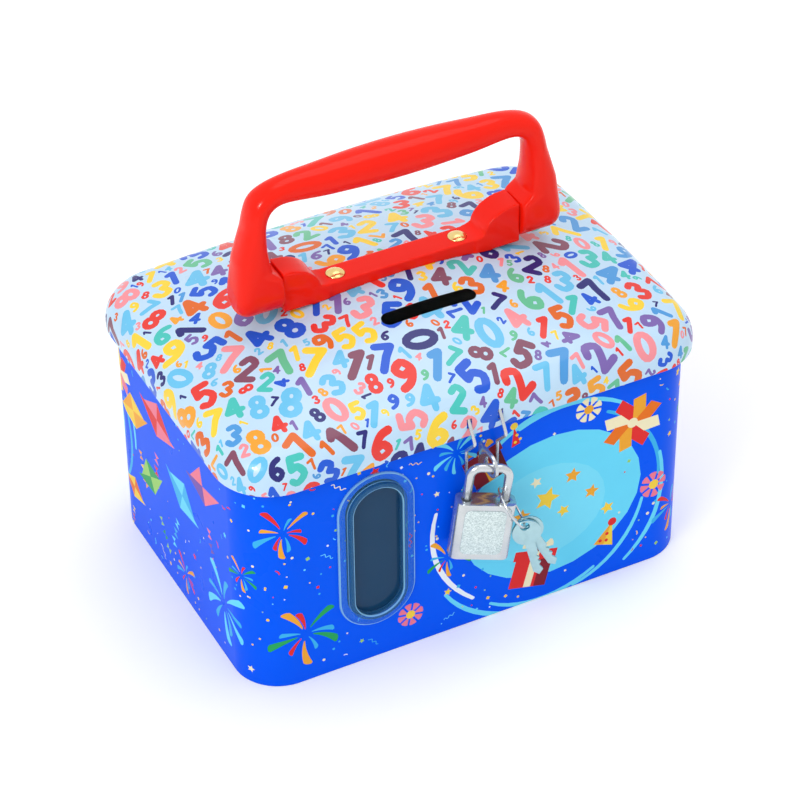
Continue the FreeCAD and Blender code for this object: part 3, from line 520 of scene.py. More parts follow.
def inner_side(outer, lines, edge, holes, grid):
    """A sheet's plain inner side: its points, its faces, and its point under each one on the outer edges."""
    rim = sorted({corner for line in lines for corner in line})
    number_of = {corner: number for number, corner in enumerate(rim)}
    points, _, faces, origin, _, _ = geometry.delaunay_2d_cdt(
        [Vector(outer[corner]) for corner in rim] + [Vector(point) for point in grid],
        [(number_of[first], number_of[second]) for first, second in lines], [], 1, WELD, True)
    points = np.array([point[:] for point in points])
    under = {rim[old]: new for new, olds in enumerate(origin) for old in olds if old < len(rim)}
    corners = np.array([points[list(face)] for face in faces])
    middles = corners.mean(axis=1)
    solid = within(middles, np.array(edge, float)) & (triangle_areas(corners) >= SLIVER)
    for hole in holes:
        solid &= ~within(middles, np.array(hole, float))
    return points, [face for face, there in zip(faces, solid) if there], under


def tin_sheet(name, wrap, edge, holes, prints, base, grid, inner_grid, thickness, materials):
    """A bent sheet of tin with its print in the outer faces, a plain inner side and cut edges."""
    outer, printed, orders = cut_sheet(edge, holes, [(outline, order) for outline, _, order in prints], grid)
    lines = edge_lines(printed)
    inner, plain, under = inner_side(outer, lines, edge, holes, inner_grid)
    outward, inward = facing(wrap, outer), -facing(wrap, inner)
    shell = np.vstack((wrap(outer), wrap(inner) + inward * thickness(inner)[:, None]))
    count = len(outer)
    plain = [tuple(corner + count for corner in reversed(face)) for face in plain]
    rims = [(second, first, under[first] + count, under[second] + count) for first, second in lines]
    directions = np.vstack((outward, inward))
    normals = [directions[corner] for face in printed + plain for corner in face]
    for rim in rims:
        out = np.cross(shell[rim[1]] - shell[rim[0]], shell[rim[3]] - shell[rim[0]])
        normals += [out / max(np.linalg.norm(out), 1e-12)] * 4
    mesh = bpy.data.meshes.new(name)
    mesh.from_pydata((shell * MM).tolist(), [], printed + plain + rims)
    mesh.polygons.foreach_set("use_smooth", [True] * len(mesh.polygons))
    mesh.polygons.foreach_set("material_index", [0] * len(printed) + [1] * (len(plain) + len(rims)))
    inks = {order: ink for _, ink, order in prints}
    tones = [inks.get(order, base) for face, order in zip(printed, orders) for _ in face]
    tones += [base] * (len(normals) - len(tones))
    ink = mesh.attributes.new("ink", "FLOAT_COLOR", "CORNER")
    ink.data.foreach_set("color", [part for tone in tones for part in tone])
    mesh.normals_split_custom_set(normals)
    return new_piece(name, mesh, *materials)


def printed_finish(name, gloss, shine):
    """Varnished print: the ink of each face, a little uneven, under a clear coat."""
    finish = Finish(name, Coat_Weight=gloss, Coat_Roughness=0.06, Specular_IOR_Level=shine)
    ink = finish.node("ShaderNodeAttribute", "Color", {"attribute_name": "ink"})
    faded = finish.mix(1.0, ink, (0.92, 0.93, 0.95, 1), "MULTIPLY")
    finish.feed("Base Color", finish.mix(finish.noise(9, 4), ink, faded))
    finish.feed("Roughness", 0.24 + finish.noise(14) * 0.1)
    finish.bump(finish.noise(2.5), 0.01, 0.25)
    return finish.material


def tin_finish():
    """Bare tinplate: bright and grey, with a faint rolled grain."""
    finish = Finish("plain_tin", Metallic=1.0)
    stretched = finish.node("ShaderNodeMapping", "Vector", Vector=finish.place(), Scale=(40, 900, 900))
    grain = finish.node("ShaderNodeTexNoise", "Fac", Vector=stretched, Scale=1.0, Detail=3.0)
    finish.feed("Base Color", finish.mix(grain, (0.62, 0.63, 0.64, 1), (0.78, 0.78, 0.77, 1)))
    finish.feed("Roughness", 0.28 + grain * 0.16)
    return finish.material


printed_body = printed_finish("printed_body", gloss=0.05, shine=0.03)
plain_tin = tin_finish()


def colour(red, green, blue):
    """A linear colour from the red, green and blue of a screen colour, 0 to 255."""
    shares = (red / 255, green / 255, blue / 255)
    return (*(share / 12.92 if share <= 0.04045 else ((share + 0.055) / 1.055) ** 2.4 for share in shares), 1)


BLUE = colour(0, 92, 250)
SKY = colour(64, 184, 240)
PALE_SKY = colour(110, 222, 254)
LIGHT_SKY = colour(126, 228, 255)
RED = colour(232, 52, 52)
ORANGE = colour(240, 120, 40)
AMBER = colour(246, 172, 56)
YELLOW = colour(252, 214, 74)
CREAM = colour(250, 240, 200)
GREEN = colour(46, 168, 92)
LIME = colour(160, 214, 110)
VIOLET = colour(122, 86, 178)
DARK_VIOLET = colour(84, 58, 140)
PINK = colour(244, 128, 150)
MAROON = colour(140, 40, 52)
DARK_MAROON = colour(96, 30, 34)
WHITE = colour(240, 248, 255)

WINDOW_X = -35.6
WINDOW_Z = 43.6
WINDOW_SPAN = 33.0
WINDOW_HOLE = 10.0
STAPLE_Z = 67.6
STAPLE_HALF = (0.5, 4.1)


def stadium(span, radius, steps):
    """Points round an upright slot about its middle: two half rounds, whose middles are a span apart."""
    return [(radius * math.cos(turn), end * span / 2 + radius * math.sin(turn))
            for end, start in ((1, 0), (-1, math.pi))
            for turn in np.linspace(start, start + math.pi, steps + 1)]


def window_outline(radius, steps=16):
    return [(WINDOW_X + x, WINDOW_Z + z) for x, z in stadium(WINDOW_SPAN, radius, steps)]


def burst(x, z, radius, tones, chance):
    """A burst of drops that bend down, in two lengths, with sparks round it."""
    marks = []
    arms = 10
    for number in range(arms):
        turn = math.tau * (number + chance.uniform(-0.25, 0.25)) / arms + 0.2
        reach = radius * (chance.uniform(0.9, 1.1) if number % 2 else chance.uniform(0.6, 0.8))
        kind = "plume_down" if math.cos(turn) > 0 else "plume_up"
        marks.append((kind, x, z, turn, reach, reach * chance.uniform(0.9, 1.25), tones[number % len(tones)]))
    for number in range(7):
        turn = chance.uniform(0, math.tau)
        reach = radius * chance.uniform(1.08, 1.3)
        size = chance.uniform(0.3, 0.6)
        marks.append(("dot", x + reach * math.cos(turn), z + reach * math.sin(turn), 0, size, size,
                      chance.choice((YELLOW, SKY, CREAM))))
    return marks


def stamp(x, z, size, turn, parts):
    """A motif's marks: each part has a kind, a place (right, up), a lean, two half sizes and an ink.

    A part whose lean undoes the motif's turn stays upright.
    """
    across = Vector((math.cos(turn), math.sin(turn)))
    up = Vector((-across.y, across.x))
    marks = []
    for kind, aside, rise, lean, wide, high, ink in parts:
        at = Vector((x, z)) + (across * aside + up * rise) * size
        marks.append((kind, at.x, at.y, turn + lean, wide * size, high * size, ink))
    return marks


def kite(x, z, size, turn, tones):
    """A paper kite in two tones with a tail of bows."""
    sails = ((1.0, 0.72), (0.72, 1.0), (1.35, 0.72), (0.72, 1.35))
    parts = [("wedge", 0, 0, math.pi / 2 * number, *sail, tones[number % 2])
             for number, sail in enumerate(sails)]
    for number in range(3):
        parts += [("wedge", 0, -1.75 - 0.55 * number, lean + 0.3 * number, 0.24, 0.24, tones[1 - number % 2])
                  for lean in (math.pi / 4, math.pi * 5 / 4)]
    return stamp(x, z, size, turn, parts)


def gift(x, z, size, turn, tones):
    """A gift box with a lid, a band and a bow."""
    box, dark, band = tones
    return stamp(x, z, size, turn, (
        ("square", 0, -0.15, 0, 0.8, 0.7, box), ("square", 0.55, -0.15, 0, 0.25, 0.7, dark),
        ("square", 0, 0.62, 0, 0.92, 0.22, box), ("square", 0, 0, 0, 0.16, 0.84, band),
        ("petal", 0, 0.84, 0.5, 0.72, 1.5, band), ("petal", 0, 0.84, math.pi - 0.5, 0.72, 1.5, band),
        ("dot", 0, 0.9, 0, 0.16, 0.16, dark)))


def party_hat(x, z, size, turn, tones):
    """A pointed paper hat in two tones with a pompom and spots."""
    right_tone, left_tone, trim = tones
    spots = [("dot", aside, rise, -turn, 0.11, 0.11, trim)
             for aside, rise in ((-0.28, 0.25), (0.1, 0.3), (-0.02, 0.72))]
    return stamp(x, z, size, turn, [
        ("wedge", 0, 0, 0, 0.62, 1.5, right_tone), ("wedge", 0, 0, math.pi / 2, 1.5, 0.62, left_tone),
        ("disc", 0, 1.5, -turn, 0.26, 0.26, trim), *spots])


def daisy(x, z, size, turn, tones):
    """A flower with eight petals and a round middle."""
    petals = [("petal", 0, 0, math.tau * number / 8, 1, 2.2, tones[0]) for number in range(8)]
    return stamp(x, z, size, turn, [*petals, ("disc", 0, 0, -turn, 0.36, 0.36, tones[1])])


def pinwheel(x, z, size, turn, tones):
    """A paper pinwheel with eight vanes round a button."""
    vanes = [("vane", 0, 0, math.tau * number / 8, 1, 1, tones[number % len(tones)]) for number in range(8)]
    return stamp(x, z, size, turn, [*vanes, ("disc", 0, 0, -turn, 0.17, 0.17, CREAM)])


FIELDS = ((26.0, 37.0, 27.5), (-196.0, 41.0, 25.0))
MOTIF_PLACES = (
    (pinwheel, ((54, 59, 11.0, 0.25, (ORANGE, AMBER, RED, CREAM)),
                (-168, 62, 9.0, 0.6, (RED, YELLOW, PINK, CREAM)),
                (132, 54, 11.0, 0.1, (YELLOW, RED, SKY, CREAM)), (-228, 30, 8.0, 0.3, (ORANGE, YELLOW)))),
    (gift, ((19, 13.5, 8.5, -0.25, (RED, MAROON, CREAM)), (2.5, 61, 7.5, 0.35, (MAROON, DARK_MAROON, AMBER)),
            (153, 20, 8.0, 0.2, (VIOLET, DARK_VIOLET, YELLOW)), (-214, 58, 7.5, -0.3, (RED, MAROON, CREAM)))),
    (kite, ((-158, 52, 9.0, 0.25, (YELLOW, AMBER)), (-138, 62, 10.0, -0.15, (RED, PINK)),
            (-147, 33, 8.5, 0.5, (GREEN, LIME)), (-121, 44, 9.5, -0.35, (SKY, PALE_SKY)),
            (-104, 60, 9.5, 0.2, (VIOLET, PINK)), (-162, 18, 6.5, -0.2, (ORANGE, YELLOW)),
            (108, 58, 8.0, -0.3, (RED, PINK)), (118, 26, 8.0, 0.35, (YELLOW, AMBER)),
            (236, 56, 8.0, 0.2, (GREEN, LIME)), (214, 30, 8.6, -0.25, (RED, PINK)))),
    (party_hat, ((45, 13, 6.0, -0.35, (YELLOW, AMBER, RED)), (14, 66, 5.0, 0.3, (PINK, RED, YELLOW)),
                 (-182, 14, 6.0, 0.25, (RED, MAROON, YELLOW)), (98, 20, 6.5, -0.2, (GREEN, LIME, CREAM)),
                 (196, 58, 6.0, 0.3, (YELLOW, AMBER, RED)))),
    (daisy, ((63, 31, 5.0, 0.1, (PINK, YELLOW)), (38, 70, 4.6, 0.3, (CREAM, AMBER)),
             (-24, 12, 4.4, 0.2, (PINK, YELLOW)), (-174, 36, 5.0, 0.2, (ORANGE, CREAM)),
             (94, 44, 5.0, 0.1, (CREAM, AMBER)), (160, 46, 5.0, 0, (PINK, YELLOW)))))
WARM = (RED, AMBER, SKY)
COOL = (SKY, GREEN, RED, AMBER)
COLD = (SKY, PALE_SKY)
BURSTS = ((-66, 61, 9.5, WARM), (-60, 19, 12.0, COOL), (-11, 30, 8.5, COOL), (-8, 70, 8.0, COLD),
          (-92, 22, 14.0, COLD), (-122, 11, 7.5, WARM), (-80, 42, 6.5, COOL), (72, 18, 9.0, WARM),
          (82, 58, 9.5, COOL), (142, 70, 7.0, WARM), (182, 50, 11.0, COOL), (172, 22, 9.0, WARM),
          (240, 18, 10.0, COOL), (-244, 62, 10.0, WARM))
STARS = ((24, 40, 4.6, YELLOW), (33, 46, 3.0, AMBER), (15, 36, 3.2, AMBER), (30, 33, 2.4, YELLOW),
         (40, 37, 2.8, AMBER), (20, 48, 2.2, CREAM), (9, 43, 2.0, CREAM), (46, 28, 2.6, YELLOW),
         (-196, 42, 5.0, YELLOW), (-186, 48, 3.0, AMBER), (-206, 36, 3.2, AMBER))
CONFETTI = (("star", 0.9, 1.9), ("strip", 0.5, 1.0), ("square", 0.35, 0.6), ("dot", 0.25, 0.5),
            ("dot", 0.2, 0.4), ("wave", 0.9, 1.4))
CONFETTI_TONES = (YELLOW, YELLOW, CREAM, SKY, RED, LIME, PALE_SKY, WHITE)
CONFETTI_TRIES = 2600


def body_layout():
    """The body's print: a scatter all round, a round pale field at the front right, kites at the sides."""
    chance = random.Random(41)
    marks = []
    for x, z, radius in FIELDS:
        marks.append(("disc", x, z, 0, radius * 1.16, radius, PALE_SKY))
        marks.append(("disc", x - 3, z - 2, 0, radius * 0.8, radius * 0.66, LIGHT_SKY))
        for number in range(9):
            turn = math.tau * number / 9 + chance.uniform(-0.2, 0.2)
            reach = radius * chance.uniform(1.2, 1.42)
            marks.append(("arc", x, z, turn, reach * 1.12, reach, chance.choice((SKY, WHITE, PALE_SKY))))
    for make, places in MOTIF_PLACES:
        for place in places:
            marks += make(*place)
    for place in BURSTS:
        marks += burst(*place, chance)
    for x, z, size, tone in STARS:
        marks.append(("star", x, z, chance.uniform(-0.4, 0.4), size, size, tone))
    taken = [(x, z, max(wide, high) * (0.55 if kind in ("disc", "arc") else 1))
             for kind, x, z, _, wide, high, _ in marks]
    for _ in range(CONFETTI_TRIES):
        x = chance.uniform(-WALL_ROUND / 2 + 2, WALL_ROUND / 2 - 2)
        z = chance.uniform(3, WALL_TOP - 6)
        kind, low, high = chance.choice(CONFETTI)
        size = chance.uniform(low, high)
        turn = chance.uniform(0, math.tau) if kind != "star" else chance.uniform(-0.6, 0.6)
        tone = chance.choice(CONFETTI_TONES)
        room = size * (2.2 if kind == "wave" else 1.2) + 1.6
        if all((x - other_x) ** 2 + (z - other_z) ** 2 > (room + other) ** 2
               for other_x, other_z, other in taken):
            taken.append((x, z, size))
            marks.append((kind, x, z, turn, size, size, tone))
    return marks


def steps_between(low, high, step):
    """Even places from a low to a high one, no more than a step apart."""
    return np.linspace(low, high, max(2, math.ceil((high - low) / step) + 1))


SIDE_STEP = 12
BEND_STEP = 1.0
BEND_ROW = 1.5
wall_stops = []
wall_grid = []
start = -WALL_ROUND / 2
for number, run in enumerate(WALL_RUNS):
    stops = list(steps_between(start, start + run, BEND_STEP if number % 2 else SIDE_STEP))[:-1]
    wall_stops += stops
    if number % 2:
        wall_grid += [(stop, row) for stop in (*stops, start + run)
                      for row in steps_between(2, WALL_TOP - 2, BEND_ROW)]
    start += run
wall_stops.append(WALL_ROUND / 2)
wall_rows = [0, *steps_between(6, WALL_TOP - 6, SIDE_STEP), WALL_TOP]
wall_edge = ([(stop, 0) for stop in wall_stops] + [(WALL_ROUND / 2, row) for row in wall_rows[1:-1]]
             + [(stop, WALL_TOP) for stop in reversed(wall_stops)]
             + [(-WALL_ROUND / 2, row) for row in reversed(wall_rows[1:-1])])
wall_grid += [(stop, row) for stop in wall_stops[1:-1] for row in wall_rows[1:-1]]
staple_hole = [(STAPLE_HALF[0] * x, STAPLE_Z + STAPLE_HALF[1] * z) for x, z in SQUARE]
wall_holes = [window_outline(WINDOW_HOLE), staple_hole]
body_prints = lay_out("body_print", body_layout(), BODY_MOTIFS, printed_body)
wall = tin_sheet("body_wall_print", wrap_wall, wall_edge, wall_holes, body_prints, BLUE, wall_grid, wall_grid,
                 lambda sheet: np.full(len(sheet), TIN), (printed_body, plain_tin))
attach(wall, "body")
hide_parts("body_wall")

# The rim: the wall's top edge, curled outward into a bead so that the lid slides over it.
# It is the wall's own tin and shows when the lid is open.
BEAD_RADIUS = 0.8
BEAD_EASE = 0.02


def ring_faces(rings, around, closed):
    """Four-sided faces between rings of points, with the last ring joined to the first if they are closed."""
    faces = []
    for ring in range(rings if closed else rings - 1):
        following = (ring + 1) % rings
        for number in range(around):
            beside = (number + 1) % around
            faces.append((ring * around + number, following * around + number,
                          following * around + beside, ring * around + beside))
    return faces


CORNER_SIGNS = ((1, 1), (-1, 1), (-1, -1), (1, -1))


def sweep_round(half, corner, section, steps=10):
    """A closed tube round a rounded rectangle; the section gives (outward, up) pairs, anticlockwise."""
    points = []
    for number, signs in enumerate(CORNER_SIGNS):
        for turn in np.linspace(number, number + 1, steps + 1) * math.pi / 2:
            ahead = np.array((math.cos(turn), math.sin(turn)))
            points += [(*((half - corner) * signs + ahead * (corner + out)), up) for out, up in section]
    return points, ring_faces(len(points) // len(section), len(section), True)


def mesh_of(shape, name, sharp=180):
    """A smooth mesh from an edited shape, with creases where it bends by more than the sharp angle."""
    mesh = bpy.data.meshes.new(name)
    shape.to_mesh(mesh)
    shape.free()
    mesh.polygons.foreach_set("use_smooth", [True] * len(mesh.polygons))
    mesh.set_sharp_from_angle(angle=math.radians(sharp))
    return mesh


def smooth_mesh(name, points, faces, sharp=40):
    """A closed smooth mesh from points in millimetres and faces."""
    mesh = bpy.data.meshes.new(name)
    mesh.from_pydata([tuple(part * MM for part in point) for point in points], [], faces)
    shape = bmesh.new()
    shape.from_mesh(mesh)
    bmesh.ops.remove_doubles(shape, verts=shape.verts, dist=1e-7)
    bmesh.ops.recalc_face_normals(shape, faces=shape.faces)
    return mesh_of(shape, name, sharp)


bead_section = [(BEAD_RADIUS - TIN + x, WALL_TOP + z) for x, z in ring_of(12, BEAD_RADIUS - BEAD_EASE)]
bead_mesh = smooth_mesh("rim_bead", *sweep_round(BODY_HALF, BODY_CORNER, bead_section))
bead = new_piece("rim_bead", bead_mesh, plain_tin)
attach(bead, "body")

# The bottom: a plate of bare tin, pressed so that its middle stands on the table.
# Its edge is held in the hem that the wall's lower edge is folded into.
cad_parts["body_bottom"].data.materials.clear()
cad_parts["body_bottom"].data.materials.append(plain_tin)

# The window: one clear moulding with a flange on the tin, a round-topped ridge, a flat pane and a collar
# through the wall. A black ring pushed over the collar inside the box holds it.
FRONT = -BODY_HALF[1]
WINDOW_SECTION = [(8.2, 0.0), (8.2, -2.05), (8.32, -2.3), (8.6, -2.4), (9.45, -2.4), (9.76, -2.28),
                  (9.9, -2.0), (9.9, -1.3), (10.0, -1.08), (10.3, -1.0), (12.5, -1.0), (12.86, -0.86),
                  (13.0, -0.5), (13.0, -0.02), (9.9, -0.02), (9.9, 1.3), (8.2, 1.3), (8.2, 1.2)]
# The ridge's bands take painted shade from the box's dark inside, and the rounded edges' bands take pale
# painted highlights.
RIDGE_PAINTED_SHADE_BANDS = (0, 3, 4, 5, 6)
EDGE_HIGHLIGHT_BANDS = (1, 2, 7, 10, 11)


def window_mesh():
    """The moulding's section carried round the window's outline, closed by the pane's two faces."""
    rings = [[(x, FRONT + ahead, z) for x, z in window_outline(radius, 24)]
             for radius, ahead in WINDOW_SECTION]
    around = len(rings[0])
    ends = [tuple(range(around)), tuple(range((len(rings) - 1) * around, len(rings) * around))]
    return smooth_mesh("window", [point for ring in rings for point in ring],
                       ends + ring_faces(len(rings), around, False), 30)


def clear_finish(name, clearness, dark, light):
    """Clear plastic as a veil: the less clear it is, the more its own colour shows, which may be painted
    shade or painted highlight.
    """
    finish = Finish(name, Alpha=1 - clearness, Roughness=0.04, Specular_IOR_Level=0.2)
    finish.feed("Base Color", finish.mix(finish.noise(18), dark, light))
    finish.bump(finish.noise(6), 0.02, 0.2)
    return finish.material


# The pane is a nearly opaque dark blue sheet: painted shade of the box's dark inside. The ridge over the hole
# is partly its own blue plastic and partly the same painted shade.
window = new_piece(
    "window", window_mesh(), clear_finish("clear_plastic", 0.86, colour(84, 170, 244), colour(104, 184, 248)),
    clear_finish("clear_pane", 0.1, colour(10, 60, 96), colour(20, 68, 104)),
    clear_finish("clear_ridge", 0.35, colour(34, 96, 150), colour(46, 110, 164)),
    clear_finish("clear_edge", 0.2, colour(126, 186, 226), colour(146, 202, 238)))
faces_round = (len(window.data.polygons) - 2) // (len(WINDOW_SECTION) - 1)
for number, face in enumerate(window.data.polygons):
    band = (number - 2) // faces_round
    face.material_index = 1 if number < 2 else 2 if band in RIDGE_PAINTED_SHADE_BANDS else 3 if band in EDGE_HIGHLIGHT_BANDS else 0
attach(window, "body")
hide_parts("window_pane")


def cad_copy(node, bevel=0.0, sharp=35):
    """A node's mesh with its loose triangles joined, its flat faces whole and its sharp edges broken."""
    shape = bmesh.new()
    shape.from_mesh(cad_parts[node].data)
    bmesh.ops.remove_doubles(shape, verts=shape.verts, dist=1e-6)
    if bevel:
        bmesh.ops.dissolve_limit(shape, angle_limit=math.radians(1), verts=shape.verts, edges=shape.edges)
        edges = [edge for edge in shape.edges
                 if len(edge.link_faces) == 2 and edge.calc_face_angle() > math.radians(sharp)]
        bmesh.ops.bevel(shape, geom=edges, offset=bevel * MM, offset_type="OFFSET", segments=2, profile=0.5,
                        affect="EDGES", clamp_overlap=True)
    return mesh_of(shape, node, sharp)


def dress(node, body, material, mesh):
    """Put a finished mesh in a node's place."""
    piece = new_piece(f"{node}_made", mesh, material)
    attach(piece, body)
    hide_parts(node)
    return piece


black = Finish("black_plastic")
black.feed("Base Color", black.mix(black.noise(3), (0.012, 0.013, 0.015, 1), (0.02, 0.021, 0.023, 1)))
black.feed("Roughness", 0.5 + black.noise(1.2) * 0.2)
dress("window_clip", "body", black.material, cad_copy("window_clip", bevel=0.15))

# The staple: a plated steel tab with a hole for the padlock's bow, pushed out through the slot in the wall.
# Its flange bears on the wall from inside.
def metal_finish(name, dark, light, rough, spread, size, bare=1.0):
    """Metal whose tone and polish vary a little from place to place; lacquered metal is less than bare."""
    finish = Finish(name, Metallic=bare)
    patch = finish.noise(size, 3)
    finish.feed("Base Color", finish.mix(patch, dark, light))
    finish.feed("Roughness", rough + patch * spread)
    finish.bump(finish.noise(size / 6), 0.01, 0.3)
    return finish.material


chrome = metal_finish("chrome", (0.5, 0.53, 0.55, 1), (0.64, 0.67, 0.69, 1),
                      rough=0.14, spread=0.12, size=4, bare=0.8)
dress("staple", "body", chrome, cad_copy("staple", bevel=0.12))

# The lid: one blank of printed tin, drawn over a crowned die with round shoulders and hemmed at its edge.
# The coin slot and the hasp's two slots are punched through the print.
LID_HALF = np.array((80.7, 57.4))
LID_CORNER = 18.2
LID_EDGE = 78.1
CROWN_EDGE = 88.6
CROWN_RISE = 14.7
SHOULDER = 10.0
FLAT_INSET = 10.5
SKIRT = 20.0
LID_CORE = LID_HALF - LID_CORNER
FLAT_CORNER = LID_CORNER - FLAT_INSET


def crown(place):
    """The crown's height over a place."""
    share = place / LID_HALF
    return CROWN_EDGE + CROWN_RISE * (1 - share[:, 0] ** 2) * (1 - share[:, 1] ** 2)


def wrap_lid(sheet):
    """Where points of the flat blank come on the drawn lid: up from the middle, and down the sides."""
    core = np.clip(sheet, -LID_CORE, LID_CORE)
    offset = sheet - core
    reach = np.linalg.norm(offset, axis=1)
    outward = offset / np.maximum(reach, 1e-9)[:, None]
    beyond = np.maximum(reach - FLAT_CORNER, 0)
    foot = core + outward * FLAT_CORNER

    def height(inset):
        return crown(foot + outward * (FLAT_INSET - inset)[:, None])

    nudge = 0.01
    tilt = np.full(len(sheet), 0.2)
    for _ in range(6):
        inset = SHOULDER * (1 - np.sin(tilt))
        tilt = np.arctan((height(inset + nudge) - height(inset - nudge)) / (2 * nudge))
    touch = SHOULDER * (1 - np.sin(tilt))
    ball = height(touch) - SHOULDER * np.cos(tilt)
    crown_run = np.hypot(FLAT_INSET - touch, height(touch) - height(np.full(len(sheet), FLAT_INSET)))
    arc_run = SHOULDER * (math.pi / 2 - tilt)
    way = (crown_run + arc_run + ball - LID_EDGE) * beyond / SKIRT
    on_crown = FLAT_INSET - (FLAT_INSET - touch) * np.minimum(way / crown_run, 1)
    turn = tilt + np.clip(way - crown_run, 0, arc_run) / SHOULDER
    down = np.maximum(way - crown_run - arc_run, 0)
    curved = way > crown_run
    inset = np.where(curved, SHOULDER * (1 - np.sin(turn)), on_crown)
    up = np.where(curved, ball + SHOULDER * np.cos(turn) - down, height(on_crown))
    place = np.zeros((len(sheet), 3))
    place[:, :2] = foot + outward * (FLAT_INSET - inset)[:, None]
    place[:, 2] = up
    inside = reach <= FLAT_CORNER
    place[inside, :2] = sheet[inside]
    place[inside, 2] = crown(sheet[inside])
    return place


def curve_through(*points, steps=3):
    """A smooth line through points."""
    line = [np.array(point, float) for point in points]
    line = [2 * line[0] - line[1], *line, 2 * line[-1] - line[-2]]
    smooth = []
    for first, start, end, last in zip(line, line[1:], line[2:], line[3:]):
        for number in range(steps):
            way = number / steps
            smooth.append(0.5 * (2 * start + (end - first) * way
                                 + (2 * first - 5 * start + 4 * end - last) * way ** 2
                                 + (3 * start - first - 3 * end + last) * way ** 3))
    return smooth + [line[-2]]


STROKE = 0.115
six = curve_through((0.13, 0.38), (-0.08, 0.24), (-0.2, 0.0), (-0.2, -0.2), (0.0, -0.385), (0.2, -0.18),
                    (0.02, 0.0), (-0.17, -0.1))
DIGIT_STROKES = {
    "0": [(ring_of(16, 0.21, 0.385), True)],
    "1": [([(-0.14, 0.25), (0.04, 0.385)], False), ([(0.04, 0.385), (0.04, 0.0), (0.04, -0.385)], False)],
    "2": [(curve_through((-0.2, 0.21), (-0.03, 0.385), (0.18, 0.2), (0.04, -0.06), (-0.2, -0.385)), False),
          ([(-0.2, -0.385), (0.21, -0.385)], False)],
    "3": [(curve_through((-0.19, 0.29), (0.0, 0.385), (0.17, 0.2), (0.0, 0.03)), False),
          (curve_through((0.0, 0.03), (0.2, -0.17), (0.0, -0.385), (-0.21, -0.27)), False)],
    "4": [([(0.1, -0.385), (0.1, 0.385)], False), ([(0.08, 0.385), (-0.25, -0.13)], False),
          ([(-0.25, -0.13), (0.25, -0.13)], False)],
    "5": [([(0.19, 0.385), (-0.14, 0.385)], False), ([(-0.14, 0.385), (-0.17, 0.06)], False),
          (curve_through((-0.17, 0.06), (0.04, 0.11), (0.2, -0.13), (0.0, -0.385), (-0.2, -0.3)), False)],
    "6": [(six, False)],
    "7": [([(-0.21, 0.385), (0.21, 0.385)], False), ([(0.21, 0.385), (0.06, 0.05), (-0.06, -0.385)], False)],
    "8": [([(x, y + 0.2) for x, y in ring_of(12, 0.165, 0.185)], True),
          ([(x, y - 0.19) for x, y in ring_of(12, 0.2, 0.2)], True)],
    "9": [([(-x, -y) for x, y in six], False)],
}


def join_flats(parts):
    """Several flat shapes as one, as (points, faces)."""
    points, faces = [], []
    for more_points, more_faces in parts:
        faces += [tuple(corner + len(points) for corner in face) for face in more_faces]
        points += more_points
    return points, faces


DIGITS = {digit: join_flats([ribbon(line, STROKE, closed) for line, closed in strokes])
          for digit, strokes in DIGIT_STROKES.items()}
DIGIT_INKS = [colour(*tone) for tone in (
    (236, 62, 54), (236, 62, 54), (228, 108, 38), (247, 168, 54), (253, 216, 62), (253, 216, 62),
    (248, 150, 158), (248, 150, 158), (74, 200, 190), (108, 198, 240), (108, 198, 240), (80, 158, 224),
    (30, 92, 216), (30, 92, 216), (44, 44, 120), (128, 104, 178), (134, 76, 100), (104, 196, 152))]
DIGIT_ROUNDS = ((9.0, 12.0, 2400, 0.3), (6.6, 8.6, 5000, 0.26), (4.8, 6.2, 7000, 0.22), (3.0, 4.2, 9000, 0.2))
TRIES_PER_LOOK = 200
LID_BASE = colour(196, 226, 249)
COIN_SLOT_Y = -21.3
COIN_SLOT = (32.0, 5.0)
CELL = 0.3


def digit_layout():
    """Digits packed over the whole blank: large ones first, then smaller ones in the gaps."""
    chance = random.Random(7)
    reach = LID_CORE + FLAT_CORNER + SKIRT + 3
    taken = np.zeros([math.ceil(2 * size / CELL) for size in reach], bool)
    spread = np.linspace(-1, 1, 7)
    discs = np.array([(x, y) for x in spread for y in spread if x * x + y * y <= 1.02])
    lines = {}
    for digit, strokes in DIGIT_STROKES.items():
        points = []
        for line, closed in strokes:
            line = np.array(list(line) + ([line[0]] if closed else []))
            for first, second in zip(line, line[1:]):
                count = max(2, math.ceil(np.linalg.norm(second - first) / 0.06))
                points += [first + (second - first) * way for way in np.linspace(0, 1, count)]
        lines[digit] = np.array(points)

    def cells_under(line, brush):
        """The cells of the blank that a brush covers along a line."""
        area = (line[:, None, :] + brush).reshape(-1, 2)
        return tuple(np.clip(((area + reach) / CELL).astype(int), 0, np.array(taken.shape) - 1).T)

    marks = []
    for low, high, tries, gap in DIGIT_ROUNDS:
        for number in range(tries):
            if number % TRIES_PER_LOOK == 0:
                free = np.argwhere(~taken) * CELL - reach
            digit = chance.choice(list(DIGIT_STROKES))
            size = chance.uniform(low, high)
            turn = chance.uniform(-0.7, 0.7) if chance.random() < 0.75 else chance.uniform(-2.2, 2.2)
            at = free[chance.randrange(len(free))]
            across = np.array((math.cos(turn), math.sin(turn)))
            placed = at + size * (np.outer(lines[digit][:, 0], across)
                                  + np.outer(lines[digit][:, 1], (-across[1], across[0])))
            if not taken[cells_under(placed, discs * STROKE * size)].any():
                taken[cells_under(placed, discs * (STROKE * size + gap))] = True
                marks.append((digit, at[0], at[1], turn, size, size, chance.choice(DIGIT_INKS)))
    return marks


